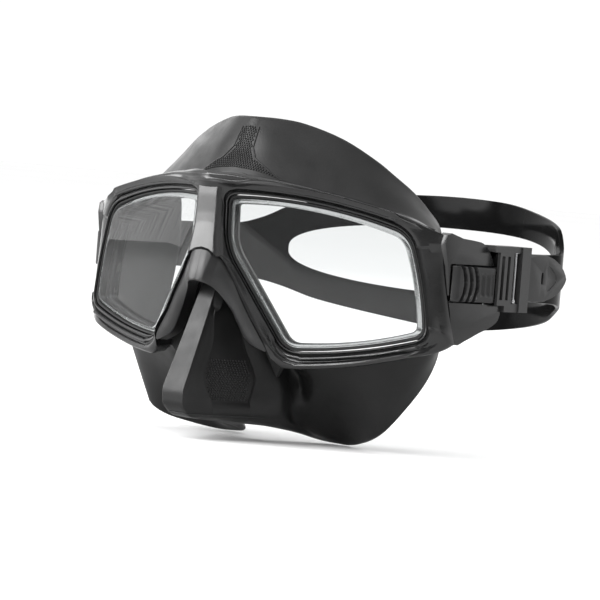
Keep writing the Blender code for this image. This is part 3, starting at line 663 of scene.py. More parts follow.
def make_post():
    """The flat post between the lenses, with crisp rounded edges and side walls that reach the rims."""
    across = list(POST_SIDE) + [(POST_FLAT * (k / 6 - 1), 0.0, 0.0) for k in range(13)]
    across += [(-s, back, flare) for s, back, flare in reversed(POST_SIDE)]
    bottom, top = POST_WIDTHS[0][0], POST_WIDTHS[-1][0]
    rows = []
    for k in range(31):
        share = k / 30
        level = top + (bottom - top) * share
        half, face = table(POST_WIDTHS, level), table(POST_FACES, level)
        row = []
        for s, back, flare in across:
            z = top + (table(POST_FOOT, abs(s * half)) - top) * share
            y = face + back - POST_CROWN * (1 - s * s)
            row.append(Vector((s * half + math.copysign(flare, s), y, z)))
        rows.append(row)
    make_piece("frame_bridge", loft(bmesh.new(), rows), "mask", "frame_plastic", 34.0, "frame")


# ---------------------------------------------------------------- nose arch

ARCH_OUTER = ((0, -5.4, -18.3), (3.1, -5, -18.9), (7.2, -3.3, -22), (10.8, -1.5, -27.5),
              (14.5, -0.6, -34.3), (18.3, 0.8, -41.1), (23.7, 2.4, -49.4), (24.9, 3.4, -52))
ARCH_INNER = ((0, -8.3, -29.5), (4, -6.9, -30.4), (7.2, -3.6, -33.6), (10.9, -0.6, -39.2),
              (13, 0.4, -43.2), (15.2, 1.2, -47.2), (18.6, 2, -52.8), (20.2, 3, -55.4))
# Across its face: share of the way, share of the swell.
ARCH_FACE = ((0.03, 0.0), (0.12, 0.3), (0.3, 0.75), (0.5, 1.0), (0.7, 0.85), (0.86, 0.4), (0.95, 0.0))
ARCH_DEPTH = 6.5
ARCH_OUTER_BACK = (-2.2, 8.0)
ARCH_STATIONS = 90
ARCH_TUCK = 0.72
# Down the legs: depth below the origin, x of the crease between the front and the side.
ARCH_CREASE = ((18.0, 4.7), (30.0, 3.1), (40.0, 3.1))


def arch_section(share):
    """Points from the seam with the frame, over the ridge or the leg's face, to the lower edge."""
    outer = along(ARCH_OUTER, share)
    inner = along(ARCH_INNER, share)
    tuck = max(0.0, share - ARCH_TUCK) / (1 - ARCH_TUCK)
    inner = outer.lerp(inner, 1 - 0.85 * tuck * tuck)
    middle = max(0.0, 1 - share * 5.5)
    swell = (0.35 + 0.9 * min(share * 4, 1.0) * (1 - share)) * min(1.0, (1 - share) / 0.15)
    lean, depth = ARCH_OUTER_BACK
    points = [outer + Vector((0, 2.0, 0)), outer + Vector((0, 0.35, 0))]
    swell *= 1 - middle
    points += [outer.lerp(inner, way) - Vector((0, swell * lift, 0)) for way, lift in ARCH_FACE]
    points += [inner + Vector(way) for way in ((0, 0.3, 0), (0, 1.2, 0.25), (0, ARCH_DEPTH, 0))]
    points.append(outer + Vector((lean * min(outer.x / 8, 1), depth, 0)))
    for point in points[1:11]:
        crease = table(ARCH_CREASE, -point.z)
        point.y += 0.55 * min(max(point.x - crease, 0.0), 2.2)
        if point.x > 0:
            point.y -= 0.35 * min(point.x, crease) / crease
    return points


def make_arch():
    rows = []
    for step in range(-ARCH_STATIONS, ARCH_STATIONS + 1):
        share = (abs(step) / ARCH_STATIONS) ** 1.25
        rows.append(sided(arch_section(share), -1 if step < 0 else 1))
    make_piece("nose_arch_shell", loft(bmesh.new(), rows), "mask", "trim_plastic", 26.0, "nose_arch")


# ---------------------------------------------------------------- glass and its rings

# Through a lens from front to back: how far inside the outline, depth. The rows up to the wall are
# the ground bevel.
GLASS_SECTION = ((1.5, 0.0), (1.15, -0.06), (0.45, -0.6), (0.2, -0.9), (0.05, -1.2), (0.05, -3.6),
                 (0.4, -4.0))
GLASS_WALL_FROM = 4
# Round a ring: how far outside the outline, depth.
SEAL_SECTION = ((1.05, -4.0), (1.05, -0.75), (0.9, -0.45), (0.5, -0.5), (0.25, -0.9), (0.25, -4.0))
RETAINER_SECTION = ((0.9, -4.3), (0.9, -7.4), (0.5, -7.8), (-1.1, -7.8), (-1.6, -7.3), (-1.6, -5.0),
                    (-0.9, -4.3))


def make_lenses():
    """Two panes with a ground front bevel. The two polished faces are one polygon each."""
    shape = bmesh.new()
    rings = skin(shape, [lens_ring(-inset, depth) for inset, depth in GLASS_SECTION])
    wall = {vert for ring in rings[GLASS_WALL_FROM:] for vert in ring}
    for face in shape.faces:
        face.material_index = 0 if wall.issuperset(face.verts) else 1
    for ring in (rings[0], rings[-1]):
        shape.faces.new(ring).material_index = 0
    both("lens_pane", shape, "mask", "lens_glass", 20.0, "lens_{}", ("lens_glass", "lens_edge"))


def make_lens_rings(name, slot, section, stands_for):
    shape = bmesh.new()
    skin(shape, [lens_ring(grow, depth) for grow, depth in section], around=True)
    both(name, shape, "mask", slot, 30.0, stands_for)


# ---------------------------------------------------------------- solid helpers

BEVEL_SEGMENTS = 2
BEVEL_ANGLE = 40.0
LATHE_SIDES = 24
SMALL_SIDES = 8


def loose(shape):
    """An object still in millimetres in the mask's own frame, for cutting."""
    bmesh.ops.recalc_face_normals(shape, faces=shape.faces)
    return to_object("loose", shape)


def block(low_x, high_x, low_y, high_y, low_z, high_z):
    shape = bmesh.new()
    bmesh.ops.create_cube(shape, size=1.0)
    bmesh.ops.scale(shape, vec=(high_x - low_x, high_y - low_y, high_z - low_z), verts=shape.verts)
    middle = ((low_x + high_x) / 2, (low_y + high_y) / 2, (low_z + high_z) / 2)
    bmesh.ops.translate(shape, vec=middle, verts=shape.verts)
    return loose(shape)


def prism(outline, low, high, axis):
    """A plate from an outline: (y, z) along X, (x, y) along Z."""
    shape = bmesh.new()
    rings = []
    for level in (low, high):
        rings.append([shape.verts.new((level, a, b) if axis == "X" else (a, b, level)) for a, b in outline])
    shape.faces.new(rings[0])
    shape.faces.new(rings[1][::-1])
    count = len(outline)
    for i in range(count):
        j = (i + 1) % count
        shape.faces.new((rings[0][j], rings[0][i], rings[1][i], rings[1][j]))
    return loose(shape)


def applied(item):
    """Bakes an object's modifiers into its mesh."""
    bpy.context.view_layer.update()
    graph = bpy.context.evaluated_depsgraph_get()
    mesh = bpy.data.meshes.new_from_object(item.evaluated_get(graph))
    item.modifiers.clear()
    item.data = mesh
    return item


def combine(item, other, operation):
    step = item.modifiers.new("combine", "BOOLEAN")
    step.operation = operation
    step.solver = "EXACT"
    step.object = other
    applied(item)
    bpy.data.objects.remove(other, do_unlink=True)
    return item


def cut(item, *others):
    for other in others:
        combine(item, other, "DIFFERENCE")


def soften(item, width):
    """Rounds the edges of a solid."""
    shape = bmesh.new()
    shape.from_mesh(item.data)
    bmesh.ops.remove_doubles(shape, verts=shape.verts, dist=0.01)
    bmesh.ops.dissolve_limit(shape, angle_limit=math.radians(1.0), verts=shape.verts, edges=shape.edges)
    shape.to_mesh(item.data)
    shape.free()
    step = item.modifiers.new("soften", "BEVEL")
    step.width = width
    step.segments = BEVEL_SEGMENTS
    step.limit_method = "ANGLE"
    step.angle_limit = math.radians(BEVEL_ANGLE)
    step.use_clamp_overlap = True
    return applied(item)


def shape_of(item):
    """The bmesh of a loose solid, which is removed."""
    shape = bmesh.new()
    shape.from_mesh(item.data)
    bpy.data.objects.remove(item, do_unlink=True)
    return shape


def rounded(outline, steps):
    """A closed outline of (a, b), made smooth."""
    points = [Vector((a, b, 0)) for a, b in outline]
    count = len(points)
    made = []
    for i in range(count):
        window = [points[(i + k) % count] for k in (-1, 0, 1, 2)]
        made += [tuple(hermite(window, 1, k / steps))[:2] for k in range(steps)]
    return made


def circle(middle, first, second, radius):
    """Points round a small circle, from its middle and two directions."""
    turns = [2 * math.pi * k / SMALL_SIDES for k in range(SMALL_SIDES)]
    return [middle + (first * math.cos(turn) + second * math.sin(turn)) * radius for turn in turns]


def lathe(spot, profile):
    """A turned pin on an upright axis: profile is (radius, z) from end to end."""
    shape = bmesh.new()
    turns = [2 * math.pi * k / LATHE_SIDES for k in range(LATHE_SIDES)]
    rings = skin(shape, [[(spot[0] + radius * math.cos(turn), spot[1] + radius * math.sin(turn), z)
                          for turn in turns] for radius, z in profile])
    cap(shape, rings[0])
    cap(shape, rings[-1])
    return shape


def tube(shape, points, radius):
    """A thin closed-ended tube along points, added to a bmesh."""
    rows = []
    for i, point in enumerate(points):
        ahead = (points[min(i + 1, len(points) - 1)] - points[max(i - 1, 0)]).normalized()
        side = ahead.cross(Vector((0.13, 0.31, 0.94))).normalized()
        rows.append(circle(point, side, side.cross(ahead), radius))
    loft(shape, rows)


def stud(shape, point, normal):
    """A small round stud on a surface, added to a bmesh."""
    side = normal.cross(Vector((0.3, 0.2, 0.9))).normalized()
    rows = [circle(point + normal * STUD_SIZE * lift, side, normal.cross(side), STUD_SIZE * share)
            for share, lift in ((1.0, -0.15), (0.92, 0.35), (0.55, 0.85))]
    shape.faces.new(skin(shape, rows)[-1])


# ---------------------------------------------------------------- skirt

NOSE_ROWS = (
    (-21.0, 4.8, 2.6, (3.2, 5.4), (4.4, 7.6), (5.4, 9.2)),
    (-29.0, 1.8, 3.3, (3.9, 4.0), (6.0, 9.0), (8.0, 12.0)),
    (-34.0, -0.4, 3.5, (4.0, 1.9), (7.0, 8.5), (9.5, 12.0)),
    (-40.0, -3.0, 3.8, (4.4, -0.3), (8.6, 8.6), (11.8, 12.2)),
    (-51.0, -7.7, 4.2, (6.2, -2.2), (11.4, 9.2), (16.3, 13.5)),
    (-62.0, -12.5, 4.6, (6.4, -6.6), (15.4, 11.7), (20.3, 17.5)),
    (-67.6, -14.9, 4.8, (7.4, -5.6), (15.4, 11.0), (21.2, 19.0)),
    (-71.0, -14.9, 4.75, (8.6, -4.0), (15.1, 10.2), (21.4, 19.6)),
    (-73.5, -14.4, 4.6, (8.9, -3.2), (15.2, 10.4), (21.3, 19.8)),
    (-76.0, -11.8, 4.3, (8.6, -2.5), (14.8, 10.6), (20.6, 20.2)),
    (-77.6, -8.5, 3.8, (7.5, 0.5), (13.5, 12.0), (19.0, 21.5)),
)
NOSE_RIM = ((0, 32.5, -79.6), (1.2, 32.6, -79.6), (2, 32.7, -79.6), (3.2, 33, -79.7), (5, 33.8, -79.9),
            (5.6, 34.2, -80), (8.9, 36.5, -80.6), (9.6, 37.3, -80.8), (13.5, 44, -82.6))
RECESS_DEPTH = 1.1
RECESS_END_Z = -72.0
SKIRT_LINES = (
    ((24, 15, -54), (22, 27, -59), (21.5, 29.5, -65), (21.5, 29, -70), (20.5, 30, -73.5),
     (18.5, 36, -79), (17.5, 49.8, -84.3)),
    ((28, 16.3, -54.5), (28.7, 21, -57.5), (28.5, 27, -63.5), (26.5, 31, -70), (24.5, 36, -76),
     (23.5, 43.5, -81.5), (24, 52, -84.95)),
    ((33, 18.5, -54.3), (30, 50.4, -84.7)),
    ((40, 21.4, -53.5), (39, 45.2, -83)),
    ((47, 24.6, -52.3), (47.2, 40.4, -80.6)),
    ((53, 27.2, -51), (53.5, 39.3, -77)),
    ((59, 29.6, -49.8), (56.6, 42.4, -72.2)),
    ((66, 32.7, -47), (61.6, 49.3, -60.5)),
    ((70.5, 35.5, -43.5), (64.2, 52.6, -50.2)),
    ((72.5, 38.8, -38), (62.6, 56.1, -38)),
    ((72.6, 35.4, -16), (61, 57.4, -20)),
    ((69, 33.8, -7), (59.4, 54.8, -5)),
    ((63, 31, -4), (57, 50.3, 1.1)),
    ((56, 28, -1.5), (53.4, 45.6, 6.8)),
    ((49, 25, 0.3), (48, 40.5, 12.2)),
    ((40, 21.2, 2.2), (42.3, 36.8, 16.8)),
    ((30, 16.8, 3.8), (30.4, 31.7, 23.5)),
    ((20, 12.5, 5), (17.5, 26, 27.8)),
    ((10, 8.6, 5.8), (9.4, 21.6, 28.9)),
    ((0, 7, 6.2), (0, 8.1, 8), (0, 10.7, 13.2), (0, 13.3, 17.2), (0, 16.2, 24.4), (0, 18.6, 29)),
)
NOSE_ROOT_LINE = 8
NOSE_FILL_ROWS = 6
SKIRT_BULGE = 1.2
SKIRT_WALL = 1.8
SKIRT_AXIS_Z = -26.0
SEAT_DEPTHS = (-6.3, -8.6)
ROW_STEPS = 4
LINE_STEPS = (3, 1, 1, 2, 1, 3, 1, 3, 5, 5) + (4,) * 18


def nose_lines():
    """The nine lines down half of the nose pocket, each with a point for each row and one on the rim."""
    lines = [[] for _ in range(9)]
    for z, front, half, edge, far, root in NOSE_ROWS:
        depth = RECESS_DEPTH if z > RECESS_END_Z else 0.0
        spots = ((0, front), (half - 0.25, front), (half, front + 0.25), (half + 0.35, front + 2.6),
                 edge, (edge[0] - 0.9 * depth, edge[1] + 0.42 * depth),
                 (far[0] - 0.9 * depth, far[1] + 0.1 * depth), far, root)
        for line, (x, y) in zip(lines, spots):
            line.append(Vector((x, y, z)))
    for line, rim in zip(lines, NOSE_RIM):
        rim = Vector(rim)
        line.append(line[-1].lerp(rim, 0.5) + Vector((0, 0, -0.7)))
        line.append(rim)
    return lines


def skirt_lines():
    lines = nose_lines()
    count = len(lines[0])
    for points in SKIRT_LINES:
        points = [Vector(point) for point in points]
        if len(points) == 2:
            middle = points[0].lerp(points[1], 0.5)
            outward = Vector((middle.x, 0, middle.z - SKIRT_AXIS_Z)).normalized()
            points.insert(1, middle + outward * SKIRT_BULGE)
        lines.append([along(points, k / (count - 1)) for k in range(count)])
    return lines


def skirt_grid():
    """Fine rows of points over half of the skirt, first along the lines, then across them."""
    fine = []
    for line in skirt_lines():
        row = []
        for i in range(len(line) - 1):
            row += [hermite(line, i, k / ROW_STEPS) for k in range(ROW_STEPS)]
        fine.append(row + [line[-1]])
    grid = []
    for i in range(len(fine) - 1):
        for k in range(LINE_STEPS[i]):
            t = k / LINE_STEPS[i]
            grid.append([hermite([line[r] for line in fine[max(i - 1, 0):i + 3]], min(i, 1), t)
                         for r in range(len(fine[0]))])
    grid.append(fine[-1])
    for row in (grid[0], grid[-1]):
        for point in row:
            point.x = 0.0
    return grid


def grid_normals(grid):
    """Directions out of the skirt. Past the plane of symmetry the grid goes on as its mirror image."""
    padded = [sided(grid[1], -1)] + grid + [sided(grid[-2], -1)]
    normals = []
    for before, row, after in zip(padded, grid, padded[2:]):
        line = []
        for k in range(len(row)):
            down = row[min(k + 1, len(row) - 1)] - row[max(k - 1, 0)]
            line.append(down.cross(after[k] - before[k]).normalized())
        normals.append(line)
    return normals


def make_skirt():
    grid = skirt_grid()
    rows = []
    for points, aims in zip(grid, grid_normals(grid)):
        inner = [point - aim * SKIRT_WALL for point, aim in zip(points, aims)]
        tip = (points[-1] - points[-2]).normalized()
        middle = points[-1].lerp(inner[-1], 0.5)
        turn = [middle + (aims[-1] * math.cos(a) + tip * math.sin(a)) * SKIRT_WALL / 2
                for a in (math.pi * k / 6 for k in range(1, 6))]
        rows.append(kept_left(points + turn + inner[::-1]))
    for row in (rows[0], rows[-1]):
        for point in row:
            point.x = 0.0
    shape = bmesh.new()
    skin(shape, rows)
    mirror_shape(shape)
    tree = BVHTree.FromBMesh(shape)
    make_piece("skirt_shell", shape, "mask", "silicone", 34.0, "skirt")
    make_skirt_seat()
    make_skirt_web()
    make_skirt_studs(tree)
    make_skirt_beads(tree)


def seat_station(edge, t):
    """One section of the seat, and whether it reaches the plane of symmetry."""
    back = along(FRAME_BACK_EDGE[edge], edge_share(edge, t))
    opening, inner = [rim_point(edge, t, OPENING_GROW + 0.3, depth) for depth in SEAT_DEPTHS]
    plane = on_symmetry(edge, t)
    outer = back if plane else opening.lerp(back, 0.8)
    low = outer + Vector((0, 2.4, 0))
    points = [opening, outer + Vector((0, 0.3, 0)), low, inner.lerp(low, 0.15), inner]
    if plane:
        points[1].x = points[2].x = 0.0
    return kept_left(points), plane


def make_skirt_seat():
    """The flat seat of the skirt behind the frame, with a window for each lens."""
    shape = join_round([seat_station(edge, t) for edge, t in rim_stations()], (1,))
    make_piece("skirt_seat", shape, "mask", "silicone", 34.0, "skirt")


def make_skirt_web():
    """The web of the skirt between the root of the nose pocket and the seat behind the frame."""
    root = nose_lines()[NOSE_ROOT_LINE][:NOSE_FILL_ROWS]
    thick = Vector((0, 1.6, 0))
    rows = []
    for k in range(25):
        a = along(root, k / 24) - Vector((0.4, 0, 0))
        b = along(FRAME_BACK_EDGE[NOSE_EDGE], 0.97 - 0.99 * k / 24) + Vector((0.8, 0.5, 0.6))
        middle = a.lerp(b, 0.5)
        rows.append([a, middle - Vector((0, 0.5, 0)), b, b + thick, middle + thick, a + thick])
    shape = bmesh.new()
    for side in (1, -1):
        loft(shape, [sided(row, side) for row in rows])
    make_piece("skirt_web", shape, "mask", "silicone", 50.0, "skirt")


# The studded patch on the forehead: z, half its width. It is reached along slanted lines from in front.
PATCH = ((8.6, 20.0), (10.5, 14.0), (13.2, 7.2), (17.2, 4.3), (24.4, 3.6))
PATCH_AIM = Vector((0, 0.75, -0.66))
PATCH_STUDS_Z = (9.6, 24.0)
# The studs on the side of the nose pocket, by z: y of the first and of the last.
NOSE_STUDS_Z = (-57.0, -71.0)
NOSE_STUDS_FRONT = ((-72.0, -3.0), (-67.6, -4.6), (-62.0, -5.4), (-57.0, -3.5))
NOSE_STUDS_BACK = ((-72.0, 9.4), (-62.0, 10.6), (-57.0, 9.6))
STUDS_HALF_WIDTH = 18.0
STUD_SIZE = 0.42
STUD_PACE = 1.0
PATCH_ROW_PACE = 0.72
NOSE_ROW_PACE = 0.8
NOSE_BEAD_Z = -76.3


def on_skirt(tree, origin, aim):
    """Where a line meets the skirt, and the normal there towards the line's start, or None."""
    aim = Vector(aim).normalized()
    point, normal, _, _ = tree.ray_cast(Vector(origin), aim)
    if point is None:
        return None
    return point, (normal if normal.dot(aim) < 0 else -normal)


def on_patch(tree, x, z):
    return on_skirt(tree, Vector((x, 11 + (z - 8) * 0.5, z)) - PATCH_AIM * 30, PATCH_AIM)


def make_skirt_studs(tree):
    """Grip studs on the forehead patch and on both sides of the nose pocket, in staggered rows."""
    found = []
    for row, z in enumerate(steps(*PATCH_STUDS_Z, PATCH_ROW_PACE)):
        for x in steps(0.5 * (row % 2), table(PATCH, z) - 0.7, STUD_PACE):
            found.append(on_patch(tree, x, z))
            if x > 0:
                found.append(on_patch(tree, -x, z))
    for row, z in enumerate(steps(*NOSE_STUDS_Z, -NOSE_ROW_PACE)):
        first = table(NOSE_STUDS_FRONT, z) + 0.9 + 0.5 * (row % 2)
        for y in steps(first, table(NOSE_STUDS_BACK, z), STUD_PACE):
            found += [on_skirt(tree, (side * 40, y, z), (-side, 0, 0)) for side in (1, -1)]
    shape = bmesh.new()
    for spot in found:
        if spot and abs(spot[0].x) < STUDS_HALF_WIDTH:
            stud(shape, *spot)
    make_piece("skirt_studs", shape, "mask", "silicone", 60.0)


def make_skirt_beads(tree):
    """Fine beads: down both sides of the forehead patch, and round the foot of the nose pocket."""
    shape = bmesh.new()
    bottom, top = PATCH[0][0], PATCH[-1][0]
    for side in (1, -1):
        heights = [top + (bottom - top) * k / 40 for k in range(41)]
        found = [on_patch(tree, side * table(PATCH, z), z) for z in heights]
        tube(shape, [item[0] for item in found if item], 0.32)
    path = []
    for k in range(-40, 41):
        x = 25.0 * math.sin(math.pi * k / 80)
        found = on_skirt(tree, (x, -60, NOSE_BEAD_Z), (-x * 0.004, 1, 0))
        if found and found[0].y < 26:
            path.append(found[0] - Vector((0, 0.05, 0)))
    tube(shape, path, 0.3)
    make_piece("skirt_beads", shape, "mask", "silicone", 60.0)


# ---------------------------------------------------------------- arms, clips, tabs and pins

ARM_OUTLINE = ((32.4, -6.5), (40.0, -7.3), (46.0, -7.9), (49.5, -8.6), (52.2, -10.8), (55.0, -15.7),
               (56.8, -22.0), (58.1, -29.0), (59.4, -31.6), (59.6, -33.4), (58.4, -36.0), (54.6, -38.4),
               (50.3, -40.2), (44.0, -43.2), (39.9, -44.4), (36.4, -33.9), (33.8, -17.6))
ARM_INNER_X = 74.9
ARM_FACE_X = 79.5
ARM_FACE_Y = 37.0
ARM_FACE_SLOPE = 0.21
NOTCH_Z = (-29.9, -16.3)
NOTCH_FLOOR_X = 77.9
NOTCH_FRONT_Y = 35.2
SLOT_X = (76.1, 77.95)
SLOT_Z = (-31.6, -14.6)
SLOT_FRONT_Y = 39.6
# Boxes as (low x, high x, low y, high y, low z, high z): the tongue, the upper side bar and its nose,
# the lower side bar, the ladder, the keeper and the two lugs that hold the tab's pin.
CLIP_BOXES = (
    (76.4, 77.6, 40.0, 58.0, -31.3, -14.9), (76.5, 85.4, 57.2, 74.0, -11.3, -9.1),
    (84.2, 85.4, 52.6, 58.0, -11.3, -9.1), (76.5, 85.4, 60.3, 74.0, -32.2, -29.2),
    (84.25, 85.4, 55.7, 64.4, -30.0, -11.0), (84.25, 86.0, 68.6, 74.0, -32.2, -9.1),
    (76.6, 84.8, 56.3, 58.7, -18.1, -16.8), (76.6, 84.8, 56.3, 58.7, -29.3, -27.9))
CLIP_CORE = (76.5, 77.7, 56.4, 66.0, -29.4, -11.0)
LADDER_SLOTS_Y = ((57.0, 58.8), (60.6, 62.2))
LADDER_SLOT_Z = (-28.0, -12.6)
# The release tab: (y, x) along its outer and inner faces.
TAB_Z = (-29.3, -16.9)
TAB_TOP = ((35.6, 79.6), (35.8, 80.5), (36.2, 81.3), (37.0, 82.0), (38.2, 82.35), (40.0, 82.6),
           (46.0, 83.25), (50.0, 83.95), (53.4, 84.55), (54.4, 84.62), (55.1, 84.3), (55.5, 83.3),
           (55.6, 82.4))
TAB_UNDER = ((35.6, 79.5), (37.6, 79.2), (40.0, 79.25), (55.6, 79.6))
TAB_GROOVES_Y = (40.0, 43.1, 46.2)
TAB_SCALLOPS_Y = (48.8, 51.3, 53.8)
TAB_STATIONS = 110
TAB_EAR = ((79.6, 54.6), (82.4, 54.6), (82.3, 57.6), (81.4, 58.6), (80.4, 58.6), (79.6, 57.6))
TAB_EAR_Z = (-27.5, -18.5)
LOCK_PIN_XY = (84.5, 66.4)
LOCK_PIN_RADIUS = 0.55
LOCK_PIN_Z = (-30.4, -10.2)
ROLLER_XY = (81.05, 62.2)
ROLLER_RADIUS = 0.95
ROLLER_Z = (-30.9, -10.3)


def make_side_arms():
    arm = prism(rounded(ARM_OUTLINE, 3), ARM_INNER_X, 90.0, "X")
    lean = [(ARM_FACE_X + ARM_FACE_SLOPE * (y - ARM_FACE_Y), y) for y in (20.0, 70.0)]
    cut(arm, prism([lean[0], (110.0, 20.0), (110.0, 70.0), lean[1]], -60.0, 10.0, "Z"))
    cut(arm, block(NOTCH_FLOOR_X, 92, NOTCH_FRONT_Y, 80, *NOTCH_Z))
    cut(arm, block(*SLOT_X, SLOT_FRONT_Y, 80, *SLOT_Z))
    soften(arm, 0.45)
    both("side_arm_shell", shape_of(arm), "mask", "frame_plastic", 40.0, "side_arm_{}")


def make_clips():
    clip = block(*CLIP_CORE)
    for corners in CLIP_BOXES:
        combine(clip, block(*corners), "UNION")
    for low_y, high_y in LADDER_SLOTS_Y:
        cut(clip, block(84.0, 86.0, low_y, high_y, *LADDER_SLOT_Z))
    for spot, radius, (low, high) in ((TAB_PIN_XY, TAB_PIN_RADIUS, TAB_PIN_Z),
                                      (LOCK_PIN_XY, LOCK_PIN_RADIUS, LOCK_PIN_Z),
                                      (ROLLER_XY, ROLLER_RADIUS, ROLLER_Z)):
        cut(clip, loose(lathe(spot, ((radius + 0.1, low - 0.1), (radius + 0.1, high + 0.1)))))
    soften(clip, 0.28)
    both("clip_shell", shape_of(clip), "clip_{}", "trim_plastic", 40.0, "clip_{}")


def tab_surface(y, z):
    """The release tab's outer face: three deep curved grooves in front, three shallow finger dips behind."""
    middle = (TAB_Z[0] + TAB_Z[1]) / 2
    half = (TAB_Z[1] - TAB_Z[0]) / 2
    share = (z - middle) / half
    x = table(TAB_TOP, y)
    for groove in TAB_GROOVES_Y:
        away = abs(y + 1.8 * share * share - groove)
        x -= 2.3 * max(0.0, min(1.0, (0.92 - away) / 0.28))
    for dip in TAB_SCALLOPS_Y:
        if abs(y - dip) < 0.95 and abs(z - middle) < 4.1:
            x -= 0.6 * math.cos(math.pi * (y - dip) / 1.9) * min(1.0, (4.1 - abs(z - middle)) / 0.9)
    edge = half - abs(z - middle)
    return x - 0.45 * max(0.0, 1 - edge / 0.45) ** 2


def make_release_tabs():
    low, high = TAB_Z
    front, back = TAB_TOP[0][0], TAB_TOP[-1][0]
    ys = [front + (back - front) * k / TAB_STATIONS for k in range(TAB_STATIONS + 1)]
    zs = [low, low + 0.12, low + 0.3] + [low + 0.5 + (high - low - 1.0) * k / 26 for k in range(27)]
    zs += [high - 0.3, high - 0.12, high]
    shape = bmesh.new()
    rings = skin(shape, [[(tab_surface(y, z), y, z) for y in ys]
                         + [(table(TAB_UNDER, y), y, z) for y in reversed(ys)] for z in zs])
    for ring in (rings[0], rings[-1]):
        for k in range(TAB_STATIONS):
            shape.faces.new((ring[k], ring[k + 1], ring[-2 - k], ring[-1 - k]))
    both("release_tab_shell", shape, "release_tab_{}", "trim_plastic", 40.0, "release_tab_{}")
    ear = prism(TAB_EAR, *TAB_EAR_Z, "Z")
    cut(ear, loose(lathe(TAB_PIN_XY, ((0.85, -30.0), (0.85, -16.0)))))
    soften(ear, 0.2)
    both("release_tab_ear", shape_of(ear), "release_tab_{}", "trim_plastic", 40.0)


def plain_pin(spot, radius, span):
    low, high = span
    return lathe(spot, ((radius - 0.2, low), (radius, low + 0.2), (radius, high - 0.2), (radius - 0.2, high)))


def lock_pin():
    """A pin with a ball near its lower end and a collar near its upper one."""
    low, high = LOCK_PIN_Z
    r = LOCK_PIN_RADIUS
    turns = [math.pi * k / 8 for k in range(1, 7)]
    ball = [(0.98 * math.sin(turn), low + 2.0 - 0.98 * math.cos(turn)) for turn in turns]
    return lathe(LOCK_PIN_XY, [
        (r - 0.1, low), (r, low + 0.15), *[spot for spot in ball if spot[0] > r], (r, low + 3.1),
        (r, high - 1.4), (r + 0.14, high - 1.3), (r + 0.14, high - 0.8), (r, high - 0.7),
        (r, high - 0.15), (r - 0.15, high)])


def make_pins():
    pin = plain_pin(TAB_PIN_XY, TAB_PIN_RADIUS, TAB_PIN_Z)
    roller = plain_pin(ROLLER_XY, ROLLER_RADIUS, ROLLER_Z)
    both("tab_pin_turned", pin, "clip_{}", "pin_steel", 30.0, "tab_pin_{}")
    both("lock_pin_turned", lock_pin(), "clip_{}", "pin_steel", 30.0, "lock_pin_{}")
    both("strap_roller_turned", roller, "strap_roller_{}", "pin_steel", 30.0, "strap_roller_{}")


# ---------------------------------------------------------------- strap

STRAP_THICKNESS = 1.7
STRAP_LEG_X = 79.0
STRAP_TAIL_X = 83.1
STRAP_HALF_WIDTH = 83.5
STRAP_DEPTH = 76.0
STRAP_CENTRE_Y = 75.0
STRAP_FRONT_Y = 64.2
STRAP_FLARE_ANGLE = 25.0
# By the angle round the head: z of the strap's upper and lower edge.
STRAP_TOP = ((0, -11.6), (20, -11.4), (29, -10.6), (36, -7.4), (42, -3.1), (50, -0.4),
             (60, 1.9), (72, 4.4), (82, 5.2), (90, 5.4))
STRAP_BOTTOM = ((0, -28.3), (20, -29.4), (29, -30.8), (36, -32.0), (42, -33.9), (50, -37.3),
                (60, -39.9), (72, -42.3), (82, -43.9), (90, -44.5))
SPLIT_HALF_WIDTH = 61.5
SPLIT_Z = (-31.4, -6.6)
STRAP_SOFT = 0.45
WRAP_Z = (-28.1, -11.6)
# A rounded corner of the wrap's section: how far in from its face, and from its edge.
WRAP_CORNER = ((0.0, 0.4), (0.12, 0.12), (0.4, 0.0))
# The tail: (y, z) round it, and round its hole and its leaf-shaped hollow.
TAIL_OUTLINE = ((66.0, -11.5), (84.0, -11.5), (87.6, -11.75), (92.0, -12.9), (95.8, -14.7), (98.2, -16.6),
                (99.7, -18.4), (100.4, -19.9), (99.7, -21.4), (98.2, -23.2), (95.8, -25.1), (92.0, -26.8),
                (87.6, -27.95), (84.0, -28.2), (66.0, -28.2))
TAIL_SLOT = (80, 90, 75.4, 76.2, -26.6, -12.8)
TAIL_HOLE = ((84.5, -18.0), (85.0, -17.8), (85.5, -18.0), (85.5, -21.8), (85.0, -22.0), (84.5, -21.8))
TAIL_LEAF = ((88.0, -15.6), (92.5, -17.6), (94.3, -19.9), (92.5, -22.2), (88.0, -24.2), (88.3, -19.9))


def smooth_table(pairs, value):
    """A table read along a smooth curve."""
    points = [Vector((a, b, 0)) for a, b in pairs]
    i = 0
    while i < len(points) - 2 and points[i + 1].x < value:
        i += 1
    t = (value - points[i].x) / (points[i + 1].x - points[i].x)
    return hermite(points, i, t).y


def strap_point(angle):
    """The middle line of the strap at an angle round the head, 0 at a clip and 90 behind."""
    turn = math.radians(angle)
    inset = (STRAP_HALF_WIDTH - STRAP_LEG_X) * (1 - eased(angle / STRAP_FLARE_ANGLE))
    return Vector((STRAP_HALF_WIDTH * math.cos(turn) - inset,
                   STRAP_CENTRE_Y + STRAP_DEPTH * math.sin(turn), 0))


def band_section(here, outward, low, high, soft_low, soft_high):
    """A rounded band: points round its cross-section from one height to another."""
    half = STRAP_THICKNESS / 2
    points = []
    for side, level, soft, order in ((1, low, soft_low, 1), (1, high, soft_high, -1),
                                     (-1, high, soft_high, 1), (-1, low, soft_low, -1)):
        inward = 1 if level == low else -1
        corner = [(half - soft, 0.0), (half - soft * 0.3, soft * 0.3), (half, soft)]
        for out, up in (corner if order > 0 else corner[::-1]):
            points.append(here + outward * out * side + Vector((0, 0, level + inward * up)))
    return points


